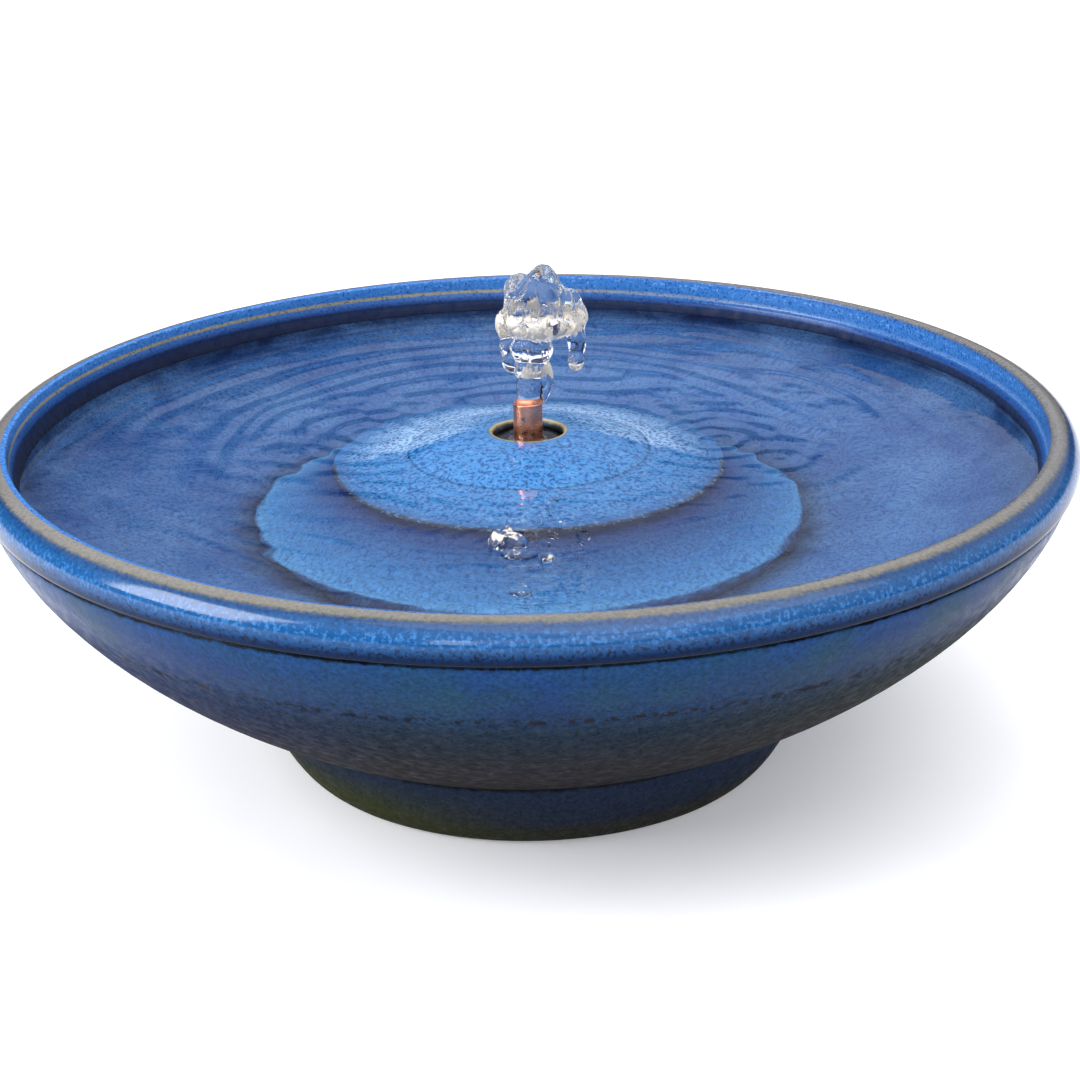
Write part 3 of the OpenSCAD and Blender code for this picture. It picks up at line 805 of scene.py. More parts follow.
@dataclass(frozen=True)
class PumpMaterial:
    """One of the pump's moulded, wound or sintered materials.

    Attributes:
        name: What it is and how its surface was made.
        dark: The colour in its hollows.
        light: The colour on its high spots.
        grain: The size of its texture in millimetres.
        relief: The height of its texture in millimetres.
        roughness: How matt it is.
        ior: Its refractive index.
        metallic: Whether it is a metal.
        clear: How much light passes through.
        stretch: How the texture is stretched along x, y and z.
    """

    name: str
    dark: str
    light: str
    grain: float
    relief: float
    roughness: float
    ior: float = 1.5
    metallic: float = 0.0
    clear: float = 0.0
    stretch: tuple[float, float, float] = (1.0, 1.0, 1.0)

    def material(self) -> bpy.types.Material:
        """Make the material."""
        material, tree, out = new_material(self.name)
        spot = add_node(tree, "ShaderNodeTexCoord").outputs["Object"]
        pulled = add_node(tree, "ShaderNodeMapping", None,
                          {"Vector": spot, "Scale": self.stretch}).outputs[0]
        grain = add_node(tree, "ShaderNodeTexNoise", None,
                         {"Vector": pulled, "Scale": per_metre(self.grain), "Detail": 4.0, "Roughness": 0.6})
        colour = add_node(tree, "ShaderNodeValToRGB", None, {0: grain.outputs[0]},
                          ((0.3, self.dark), (0.7, self.light))).outputs[0]
        lift = add_node(tree, "ShaderNodeBump", None,
                        {"Strength": 0.5, "Distance": self.relief * MM, "Height": grain.outputs[0]})
        matt = add_node(tree, "ShaderNodeMapRange", None,
                        {"Value": grain.outputs[0], "From Min": 0.3, "From Max": 0.7,
                         "To Min": self.roughness * 0.85,
                         "To Max": min(1.0, self.roughness * 1.15)}).outputs[0]
        values = {"Base Color": colour, "Roughness": matt, "Normal": lift.outputs[0]}
        if self.metallic:
            values["Metallic"] = self.metallic
        else:
            values["IOR"] = self.ior
        if self.clear:
            values["Transmission Weight"] = self.clear
        shader = add_node(tree, "ShaderNodeBsdfPrincipled", None, values)
        tree.links.new(shader.outputs[0], out.inputs[0])
        return material


class PumpFinish(Enum):
    """The pump's finishes.

    Spark-eroded grain on moulded plastic is about 0.05 mm across, too fine to
    show, so it is drawn at least ten times as coarse.
    """

    # extruded vinyl: clear and glossy, with slow waves in its wall
    VINYL = PumpMaterial("clear vinyl tube, extruded", "#c9d4d6", "#e2e9ea", 6.0, 0.02, 0.12, 1.53,
                         clear=0.85)
    # moulded ABS: near black, with an even satin grain
    ABS = PumpMaterial("black ABS, moulded", "#141517", "#202225", 0.5, 0.02, 0.42, 1.53)
    # cast epoxy: black and glossy, its face slightly wavy
    RESIN = PumpMaterial("black epoxy potting, cast", "#101012", "#1b1b1e", 9.0, 0.05, 0.22, 1.55)
    # stamped iron: bare grey metal, with fine lines along y
    IRON = PumpMaterial("laminated iron, stamped", "#4c4d50", "#8a8b8e", 0.5, 0.05, 0.4, metallic=1.0,
                        stretch=(1.0, 0.05, 1.0))
    # moulded nylon: milky white and satin
    NYLON = PumpMaterial("white nylon, moulded", "#d9d8d2", "#efeee9", 0.8, 0.02, 0.4, 1.53)
    # wound wire: red-brown enamel, with fine lines along y
    WIRE = PumpMaterial("enamelled copper wire, wound", "#8a3d1c", "#c9743d", 0.4, 0.1, 0.3, metallic=1.0,
                        stretch=(1.0, 0.08, 1.0))
    # sintered ferrite: dark grey, stony and a little shiny
    FERRITE = PumpMaterial("ferrite magnet, sintered", "#2b2b2e", "#414145", 0.7, 0.03, 0.5, 2.3)
    # ground alumina: ivory white, smooth as china
    ALUMINA = PumpMaterial("alumina, ground", "#e8e4d8", "#f5f2ea", 0.6, 0.01, 0.25, 1.76)
    # moulded nitrile: black and dull
    RUBBER = PumpMaterial("black nitrile rubber, moulded", "#121212", "#1e1e1e", 0.6, 0.03, 0.65, 1.52)
    # moulded acetal: mid grey, with a soft sheen
    ACETAL = PumpMaterial("grey acetal, moulded", "#6b7176", "#868c91", 0.7, 0.02, 0.35, 1.48)
    # moulded silicone: cloudy, with a soft sheen
    SILICONE = PumpMaterial("clear silicone rubber, moulded", "#cfd5d4", "#e4e8e7", 1.0, 0.02, 0.3, 1.42,
                            clear=0.7)


# ---- the clay ----


@dataclass
class Bowl:
    """The thrown bowl: rolled rim, belly, foot ring and basin.

    Attributes:
        turns: Points round the bowl.
        roll: The radius of the rolled edge.
        rim_overhang: How far the roll stands past the belly.
        fullness: The power of the belly's curve; 2 is an ellipse.
        foot_radius: The foot's radius where it stands.
        foot_top: Its radius where it meets the belly.
        foot_height: The height of that meeting.
        foot_swell: The power of the foot's flare.
        ring_width: The width of the ring that it stands on.
        recess: The height of the hollow under it.
        ridge_in: How far inside the crest the ridge lies.
        ridge_drop: How far below the crest it lies.
        ridge_tilt: How far it dips on the right and rises on the left.
        bevel: How far below the crest the bevel's foot lies.
        basin_lip: How far under the bevel the basin's curve starts.
        wall: The wall's thickness there.
        floor: The height of the basin's floor.
        under: The height where the basin's curve would close without a floor.
        ring_height: The height of the throwing rings.
        ring_pitch: The distance from ring to ring.
        glaze: The glaze.
    """

    turns: int = 336
    roll: float = 8.0
    rim_overhang: float = 1.3
    fullness: float = 1.6
    foot_radius: float = 75.0
    foot_top: float = 93.0
    foot_height: float = 26.3
    foot_swell: float = 0.55
    ring_width: float = 12.0
    recess: float = 20.5
    ridge_in: float = 2.5
    ridge_drop: float = 5.6
    ridge_tilt: float = 1.9
    bevel: float = 9.5
    basin_lip: float = 3.0
    wall: float = 11.7
    floor: float = 32.5
    under: float = 17.5
    ring_height: float = 0.025
    ring_pitch: float = 6.3
    glaze: FloatingBlueGlaze = field(default_factory=FloatingBlueGlaze)

    def __post_init__(self) -> None:
        """Take the width and the height from the frame."""
        low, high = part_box("bowl")
        self.radius = (high[0] - low[0]) / 2 / MM
        self.height = high[2] / MM
        self.belly_radius = self.radius - self.rim_overhang
        self.belly_z = self.height - self.roll
        self.crest = self.radius - self.roll
        self.basin_radius = self.belly_radius - self.wall
        self.basin_z = self.height - self.bevel - self.basin_lip

    def curve(self, a: float, b: float, z: np.ndarray, top: float) -> np.ndarray:
        """Return the radius of the bowl's curve at each height.

        Args:
            a: The largest radius.
            b: The curve's depth.
            z: The heights.
            top: The height of the largest radius.

        Returns:
            The radii.
        """
        n = self.fullness
        return a * (1 - np.clip((top - z) / b, 0, 1) ** n) ** (1 / n)

    def outside(self) -> np.ndarray:
        """Draw the section from the foot's edge up to the crest."""
        rise = np.linspace(0, 1, 22) ** 1.25
        foot = np.stack([self.foot_radius + (self.foot_top - self.foot_radius) * rise ** self.foot_swell,
                         self.foot_height * rise], -1)
        foot = np.concatenate([[[self.foot_radius - 2.2, 0.0], [self.foot_radius - 0.9, 0.35]], foot[1:]])
        start = self.foot_height + 0.5
        z = start + (self.belly_z - 6.0 - self.foot_height - 0.5) * np.linspace(0, 1, 78) ** 1.15
        belly = np.stack([self.curve(self.belly_radius, self.belly_z, z, self.belly_z), z], -1)
        line = [[belly[-1][0] - 0.1, self.belly_z - 5.6], [belly[-1][0] - 1.2, self.belly_z - 5.1]]
        turn = np.radians(np.linspace(-34, 90, 40))
        roll = np.stack([self.crest + self.roll * np.cos(turn), self.belly_z + self.roll * np.sin(turn)], -1)
        self.roll_rows = len(roll)
        return np.concatenate([foot, belly, line, roll])

    def inside(self) -> np.ndarray:
        """Draw the section from the crest down to the basin's floor."""
        turn = np.radians(np.linspace(90, 104, 5))
        rim = np.stack([self.crest + self.roll * np.cos(turn), self.belly_z + self.roll * np.sin(turn)], -1)
        top = self.height
        corners = np.concatenate([rim, [
            [self.crest - self.ridge_in, top - self.ridge_drop],
            [self.crest - self.ridge_in - 0.9, top - self.ridge_drop - 1.4],
            [self.crest - self.ridge_in - 1.3, top - self.bevel + 0.6],
            [self.crest - self.ridge_in - 2.0, top - self.bevel - 0.5],
            [self.basin_radius - 0.4, self.basin_z + 0.6],
        ]])
        rim = soften(corners, 0.45, 0.6)
        z = self.basin_z - (self.basin_z - self.floor) * np.linspace(0, 1, 64) ** 1.3
        basin = np.stack([self.curve(self.basin_radius - 0.4, self.basin_z - self.under, z, self.basin_z),
                          z], -1)
        last = basin[-1, 0]
        floor = [[last * k, self.floor - 0.3 * (1 - k)] for k in (0.93, 0.8, 0.6, 0.4, 0.2, 0.06)]
        self.rim_rows = len(rim)
        return np.concatenate([rim, basin, floor])

    def underside(self) -> np.ndarray:
        """Draw the section of the recess under the foot, from its middle out."""
        inner = self.foot_radius - self.ring_width
        corners = np.array([[1.5, self.recess], [inner - 6, self.recess], [inner - 3, self.recess - 3],
                            [inner - 1.5, 2], [inner, 0.3], [inner + 0.8, 0.0],
                            [self.foot_radius - 2.2, 0.0]])
        return soften(corners, 1.6, 1.6)

    def build(self) -> bpy.types.Object:
        """Wind the section round the axis and dress it.

        Returns:
            The bowl.
        """
        under, outer, inner = self.underside(), self.outside(), self.inside()
        line = np.concatenate([under[:-1], outer[:-1], inner])
        first_rim = len(under) + len(outer) - 2
        first_basin = first_rim + self.rim_rows
        angle = np.linspace(0, 2 * np.pi, self.turns, endpoint=False)[:, None]
        r, z = np.repeat(line[None, :, 0], self.turns, 0), np.repeat(line[None, :, 1], self.turns, 0)
        run = np.concatenate([[0], np.cumsum(np.hypot(*np.diff(line, axis=0).T))])[None]
        thrown = np.clip((r - 88) / 12, 0, 1)
        wander = 0.7 * np.sin(angle) + 0.4 * np.sin(2 * angle + 1)
        r = r + thrown * self.ring_height * np.sin(2 * np.pi * run / self.ring_pitch + wander)
        r = r * (1 + 0.0006 * np.sin(2 * angle + 0.8) + 0.0004 * np.sin(3 * angle + 2.1))
        ridge = np.exp(-((run - run[0, first_rim] - 6.5) / 3.2) ** 2) * (np.arange(len(line)) >= first_rim)
        z = z - ridge * self.ridge_tilt * np.cos(angle)
        high = np.clip((z - 60) / 50, 0, 1)
        z = z + high * (0.18 * np.sin(2 * angle + 0.3) + 0.1 * np.sin(5 * angle))
        verts = np.stack([r * np.cos(angle), r * np.sin(angle), z], -1).reshape(-1, 3)
        rows = len(line)
        faces = ring_faces(self.turns, rows)
        count = len(verts)
        verts = np.concatenate([verts, [[0, 0, self.recess], [0, 0, self.floor - 0.3]]])
        for i in range(self.turns):
            faces.append((count, ((i + 1) % self.turns) * rows, i * rows))
        for i in range(self.turns):
            faces.append((count + 1, i * rows + rows - 1, ((i + 1) % self.turns) * rows + rows - 1))
        obj = mesh_object("bowl_clay", verts, faces)
        glaze = self.glaze
        dress(obj, glaze.roll(), glaze.belly(), glaze.rim(), glaze.basin(), glaze.bare())
        part = np.full(rows - 1, Face.BELLY.value)
        part[len(under) + len(outer) - 2 - self.roll_rows:first_rim] = Face.ROLL.value
        part[:len(under) - 1] = Face.BARE.value
        part[first_rim:first_basin] = Face.RIM.value
        part[first_basin:] = Face.BASIN.value
        which = np.concatenate([np.tile(part, self.turns), np.full(self.turns, Face.BARE.value),
                                np.full(self.turns, Face.BASIN.value)])
        obj.data.polygons.foreach_set("material_index", which.astype(np.int32))
        settle(obj, "bowl", "blue_glaze", "bowl")
        return obj


@dataclass
class PumpCover:
    """The clay cover over the pump: domed cap, flared skirt, three notches.

    Attributes:
        turns: Points round the cover.
        rise: Its height.
        cap_radius: The cap's radius.
        cap_drop: How far the cap falls to its edge.
        doming: The power of that fall.
        hole: The hole's radius.
        hole_round: The radius of the hole's rounded edge.
        thick: The wall's thickness.
        lip: The depth of the cap's edge.
        heel: The radius of the rounded foot.
        heel_top: The height over the foot where the skirt's flare ends.
        notch: The radius of a notch.
        notches: How many there are.
        glaze: The glaze.
    """

    turns: int = 300
    rise: float = 72.1
    cap_radius: float = 64.2
    cap_drop: float = 18.7
    doming: float = 1.6
    hole: float = 11.3
    hole_round: float = 1.4
    thick: float = 7.0
    lip: float = 2.5
    heel: float = 4.0
    heel_top: float = 10.0
    notch: float = 10.0
    notches: int = 3
    glaze: CoverGlaze = field(default_factory=CoverGlaze)

    def __post_init__(self) -> None:
        """Take the cover's place and width from the frame."""
        low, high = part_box("pump_cover")
        self.base = low[2] / MM
        self.top = high[2] / MM
        self.foot_radius = (high[0] - low[0]) / 2 / MM
        self.cap_start = self.hole + self.hole_round
        self.neck = self.cap_radius - 2.4
        self.neck_z = self.rise - self.cap_drop - self.lip - 2

    def fall(self, r: np.ndarray) -> np.ndarray:
        """Return how far the cap has fallen at each radius."""
        part = np.clip((r - self.cap_start) / (self.cap_radius - self.cap_start), 0, None)
        return self.cap_drop * part ** self.doming

    def section(self) -> tuple[np.ndarray, int]:
        """Draw the cover's section once round, from the hole outward.

        Returns:
            The closed section and the number of points on the cap.
        """
        turn = np.radians(np.linspace(180, 90, 9))
        ring = self.hole_round
        hole = np.stack([self.cap_start + ring * np.cos(turn), self.rise - ring + ring * np.sin(turn)], -1)
        r = np.linspace(self.cap_start + 0.8, self.cap_radius, 52)
        cap = np.stack([r, self.rise - self.fall(r)], -1)
        edge = soften(np.array([[self.cap_radius, self.rise - self.cap_drop],
                                [self.cap_radius + 0.1, self.rise - self.cap_drop - 1.2],
                                [self.cap_radius - 0.9, self.rise - self.cap_drop - self.lip],
                                [self.neck, self.neck_z + 0.6]]), 0.5, 0.7)
        u = np.linspace(0, 0.97, 34)
        skirt = np.stack([self.neck + (self.foot_radius - self.neck) * u,
                          self.heel_top + (self.neck_z - self.heel_top) * (1 - u) ** 1.25], -1)
        turn = np.radians(np.linspace(20, -90, 10))
        heel = np.stack([self.foot_radius - self.heel + self.heel * np.cos(turn),
                         self.heel + self.heel * np.sin(turn)], -1)
        inner = skirt[-3:1:-1] + np.array([-self.thick * 0.75, -self.thick * 0.66])
        inner[:, 1] = np.maximum(inner[:, 1], 1.2)
        r = np.linspace(self.cap_radius - 5, self.cap_start + 0.5, 24)
        under = np.stack([r, self.rise - self.fall(r) - self.thick - 0.6], -1)
        foot = np.array([[self.foot_radius - self.heel - 4.6, 0.5]])
        close = np.array([[self.hole + 0.4, self.rise - self.thick - 0.4],
                          [self.hole, self.rise - self.thick + 0.8]])
        line = np.concatenate([hole, cap, edge[1:], skirt[1:], heel, foot, inner, under, close])
        return line, len(hole) + len(cap) + 2

    def build(self) -> bpy.types.Object:
        """Wind the section, cut the notches and dress the cover.

        Returns:
            The cover.
        """
        line, caps = self.section()
        line = np.concatenate([line, line[:1]])
        angle = np.linspace(0, 2 * np.pi, self.turns, endpoint=False)[:, None]
        r, z = np.repeat(line[None, :, 0], self.turns, 0), np.repeat(line[None, :, 1], self.turns, 0)
        reach = np.clip((r - 60) / 25, 0, 1)
        r = r * (1 + reach * (0.0016 * np.sin(3 * angle + 0.5) + 0.001 * np.sin(7 * angle)))
        verts = np.stack([r * np.cos(angle), r * np.sin(angle), z + self.base], -1)[:, :-1].reshape(-1, 3)
        rows = len(line) - 1
        faces = []
        for i in range(self.turns):
            a, b = i * rows, ((i + 1) % self.turns) * rows
            faces += [(a + k, a + (k + 1) % rows, b + (k + 1) % rows, b + k) for k in range(rows)]
        obj = mesh_object("pump_cover_clay", verts, faces)
        dress(obj, self.glaze.cap(), self.glaze.skirt())
        part = np.array([0 if k < caps else 1 for k in range(rows)])
        part[-4:] = 0
        obj.data.polygons.foreach_set("material_index", np.tile(part, self.turns).astype(np.int32))
        cutter = self.cutter()
        apply_modifier(obj, "BOOLEAN", operation="DIFFERENCE", solver="EXACT", object=cutter)
        bpy.data.objects.remove(cutter)
        obj.data.polygons.foreach_set("use_smooth", [True] * len(obj.data.polygons))
        obj.data.set_sharp_from_angle(angle=math.radians(50))
        settle(obj, "cover", "pale_blue_glaze", "pump_cover")
        return obj

    def cutter(self) -> bpy.types.Object:
        """Make the three round bars that the notches are cut with."""
        verts, faces = [], []
        turn = np.linspace(0, 2 * np.pi, 48, endpoint=False)
        for i in range(self.notches):
            way = math.radians(-30 + i * 360 / self.notches)
            along = np.array([math.cos(way), math.sin(way), 0])
            side = np.array([-along[1], along[0], 0])
            first = len(verts)
            for start in (self.neck - 12, self.neck + 38):
                for t in turn:
                    verts.append(along * start + side * self.notch * math.cos(t)
                                 + np.array([0, 0, self.base + self.notch * math.sin(t)]))
            n = len(turn)
            last = first + n
            faces += [(first + k, first + (k + 1) % n, last + (k + 1) % n, last + k) for k in range(n)]
            faces += [tuple(range(first, last))[::-1], tuple(range(last, last + n))]
        return mesh_object("notch_bars", np.array(verts), faces, smooth=False)


# ---- the spout and the water ----


@dataclass
class CopperSpout:
    """The copper tube that stands in the cover's hole.

    Attributes:
        turns: Points round the tube.
        ease: The radius of its filed edges.
        gauge: Its wall's thickness.
    """

    turns: int = 72
    ease: float = 0.25
    gauge: float = 0.81

    def build(self) -> bpy.types.Object:
        """Draw the tube's wall with eased ends and dress it.

        Returns:
            The tube.
        """
        low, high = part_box("copper_spout")
        outer = (high[0] - low[0]) / 2 / MM
        z0, z1 = low[2] / MM, high[2] / MM
        inner = outer - self.gauge
        e = self.ease
        heights = np.linspace(z0 + e, z1 - e, 14)
        wall = [[outer, h] for h in heights]
        top = [[outer - e * (1 - math.cos(t)), z1 - e * (1 - math.sin(t))] for t in (0.5, 1.1, 1.57)]
        lip = [[inner + e * (1 - math.sin(t)), z1 - e * (1 - math.sin(t)) * 0.8] for t in (1.57, 1.0, 0.3)]
        back = [[inner, h] for h in heights[::-1]]
        line = np.array(wall + top + lip + back + [[inner + e, z0], [outer - e, z0]])
        rows = len(line)
        angle = np.linspace(0, 2 * np.pi, self.turns, endpoint=False)[:, None]
        r = np.repeat(line[None, :, 0], self.turns, 0) * (1 + 0.004 * np.sin(2 * angle + 1))
        up = np.clip((line[None, :, 1] - z1 + 3) / 3, 0, 1)
        skew = 0.22 * np.sin(angle + 2.4) + 0.1 * np.sin(3 * angle)
        z = np.repeat(line[None, :, 1], self.turns, 0) + up * skew
        verts = np.stack([r * np.cos(angle), r * np.sin(angle), z], -1).reshape(-1, 3)
        faces = []
        for i in range(self.turns):
            a, b = i * rows, ((i + 1) % self.turns) * rows
            faces += [(a + k, b + k, b + (k + 1) % rows, a + (k + 1) % rows) for k in range(rows)]
        obj = mesh_object("copper_tube", verts, faces)
        dress(obj, BrushedCopper().material())
        settle(obj, body_of(frame["nodes"]["copper_spout"])[0], "copper", "copper_spout")
        return obj


@dataclass
class Pool:
    """The water in the basin, with ring waves running out from the spout.

    Attributes:
        level: The height of the water.
        radius: The radius where it meets the clay.
        start: The radius of the gap that the hose stands in.
        turns: Points round the pool.
        rows: Points from the middle out.
        wave: The height of the ring waves.
        drops: Where drops fall: x, y, and the length and height of their waves.
    """

    level: float = 104.8
    radius: float = 165.4
    start: float = 7.4
    turns: int = 420
    rows: int = 230
    wave: float = 0.3
    drops: tuple[tuple[float, float, float, float], ...] = (
        (-52, 18, 10.0, 0.3), (62, 4, 9.0, 0.3), (82, -14, 13.0, 0.22), (-5, -90, 8.0, 0.1),
        (95, 55, 17.0, 0.14), (-110, 40, 18.0, 0.1), (-80, 2, 14.0, 0.16),
    )

    def height(self, x: np.ndarray, y: np.ndarray) -> np.ndarray:
        """Return the water's height over its level at each point.

        Args:
            x: Places across, in millimetres.
            y: Places from front to back.

        Returns:
            The heights.
        """
        r = np.hypot(x, y)
        way = np.arctan2(y, x)
        drift = np.empty_like(r)
        swell = np.empty_like(r)
        for i, (c, si) in enumerate(zip(np.cos(way[:, 0]), np.sin(way[:, 0]))):
            for k, d in enumerate(r[i]):
                drift[i, k] = noise.noise(Vector((c * 2.2, si * 2.2, d / 26.0)))
                swell[i, k] = noise.noise(Vector((c * 3.5 + 9.0, si * 3.5, d / 8.5)))
        rings = np.sin(2 * np.pi * r / 15.0 + 7.0 * drift) * (0.35 + 0.9 * np.abs(drift))
        side = 0.3 + 0.7 * np.clip(0.5 + 0.8 * y / np.maximum(r, 1), 0, 1)
        fade = np.clip((r - 40) / 15, 0, 1) * np.clip((178 - r) / 60, 0.25, 1)
        h = (self.wave * rings + self.wave * 1.4 * swell) * fade * side
        for cx, cy, length, size in self.drops:
            d = np.hypot(x - cx, y - cy)
            h += size * np.sin(2 * np.pi * d / length) * np.exp(-d / 20) * np.clip((r - 40) / 8, 0, 1)
        return h

    def build(self) -> bpy.types.Object:
        """Lay the surface, ripple it and dress it.

        Returns:
            The pool.
        """
        r = self.start + (self.radius - self.start) * np.linspace(0, 1, self.rows) ** 0.97
        angle = np.linspace(0, 2 * np.pi, self.turns, endpoint=False)[:, None]
        x, y = r * np.cos(angle), r * np.sin(angle)
        z = self.level + self.height(x, y)
        verts = np.stack([x, y, z], -1).reshape(-1, 3)
        obj = mesh_object("pool_water", verts, [q[::-1] for q in ring_faces(self.turns, self.rows)])
        dress(obj, ClearWater(ripple=9.0).material("clear water, rippled pool", fine=0.12))
        settle(obj, "bowl", "water")
        return obj


@dataclass
class CapFilm:
    """The thin sheet of water that runs down over the cap, and the water in its hole.

    Attributes:
        cover: The cover that it runs over.
        level: The height of the pool that it runs into.
        turns: Points round the sheet.
        rows: Points from the hole out.
        thick: How deep the sheet is.
        wave: The height of its ripples.
        spout: The radius where the water in the hole meets the tube.
        well_drop: How far that water lies under the cap's top.
        well_rows: Points across that water.
    """

    cover: PumpCover
    level: float = 104.8
    turns: int = 260
    rows: int = 72
    thick: float = 0.35
    wave: float = 0.12
    spout: float = 4.9
    well_drop: float = 2.0
    well_rows: int = 12

    def build(self) -> bpy.types.Object:
        """Lay the sheet over the cap until it dips under the pool.

        Returns:
            The sheet.
        """
        top = self.cover.base + self.cover.rise
        meets = self.cover.cap_start + (self.cover.cap_radius - self.cover.cap_start) * (
            (top + self.thick - self.level) / self.cover.cap_drop) ** (1 / self.cover.doming)
        r = np.linspace(self.cover.cap_start - 0.2, meets + 0.15, self.rows)
        angle = np.linspace(0, 2 * np.pi, self.turns, endpoint=False)[:, None]
        x, y = r * np.cos(angle), r * np.sin(angle)
        z = np.repeat((top - self.cover.fall(r) + self.thick)[None], self.turns, 0)
        ripple = np.array([[noise.noise(Vector((a / 5.0, b / 5.0, 3.0))) for a, b in zip(p, q)]
                           for p, q in zip(x, y)])
        rings = np.sin(2 * np.pi * r / 7.0 + 5 * ripple)
        start = np.clip((r - self.cover.cap_start) / 6, 0, 1) * np.clip((meets - r) / 4, 0, 1)
        back = 0.45 + 0.55 * np.clip(0.3 + y / np.maximum(r, 1), 0, 1)
        z = z + self.wave * (ripple * 1.6 + 0.5 * rings) * start * back
        verts = np.stack([x, y, z], -1).reshape(-1, 3)
        faces = [q[::-1] for q in ring_faces(self.turns, self.rows)]
        r = np.linspace(self.spout, self.cover.hole - 0.05, self.well_rows)
        well = np.stack([r * np.cos(angle), r * np.sin(angle),
                         top - self.well_drop + 0.25 * np.sin(3 * angle + r * 0.9)], -1).reshape(-1, 3)
        faces += [tuple(len(verts) + k for k in q[::-1]) for q in ring_faces(self.turns, self.well_rows)]
        verts = np.concatenate([verts, well])
        obj = mesh_object("cap_water", verts, faces)
        dress(obj, ClearWater(ripple=5.0).material("clear water, sheet on the cap", fine=0.06))
        settle(obj, "cover", "water")
        return obj


@dataclass(frozen=True)
class Drop:
    """One lump of falling water: its middle, its half sizes and its lean."""

    at: tuple[float, float, float]
    size: tuple[float, float, float]
    lean: float = 0.0


def melted(name: str, lumps: Sequence[Drop], base: float, voxel: float, passes: int) -> bpy.types.Object:
    """Melt lumps of water into one smooth piece.

    Args:
        name: The piece's name.
        lumps: The lumps.
        base: The height that theirs count from, in millimetres.
        voxel: The size of the piece's cells, in millimetres.
        passes: How often it is smoothed.

    Returns:
        The piece.
    """
    work = bmesh.new()
    for drop in lumps:
        place = Matrix.Translation(Vector((drop.at[0], drop.at[1], drop.at[2] + base)) * MM)
        scale = Matrix.Diagonal((*[size * MM for size in drop.size], 1.0))
        bmesh.ops.create_icosphere(work, subdivisions=4, radius=1.0,
                                   matrix=place @ Matrix.Rotation(drop.lean, 4, "Y") @ scale)
    mesh = bpy.data.meshes.new(name)
    work.to_mesh(mesh)
    work.free()
    obj = bpy.data.objects.new(name, mesh)
    bpy.context.scene.collection.objects.link(obj)
    apply_modifier(obj, "REMESH", mode="VOXEL", voxel_size=voxel * MM, use_smooth_shade=True)
    apply_modifier(obj, "SMOOTH", factor=0.5, iterations=passes)
    return obj


def rippled(obj: bpy.types.Object, height: float, size: float) -> None:
    """Push a piece's surface in and out by noise.

    Args:
        obj: The piece.
        height: How far it moves, in millimetres.
        size: The size of the ripples, in millimetres.
    """
    for vertex in obj.data.vertices:
        push = noise.noise(vertex.co / (size * MM))
        vertex.co += vertex.normal * (push * height * MM)
    obj.data.update()


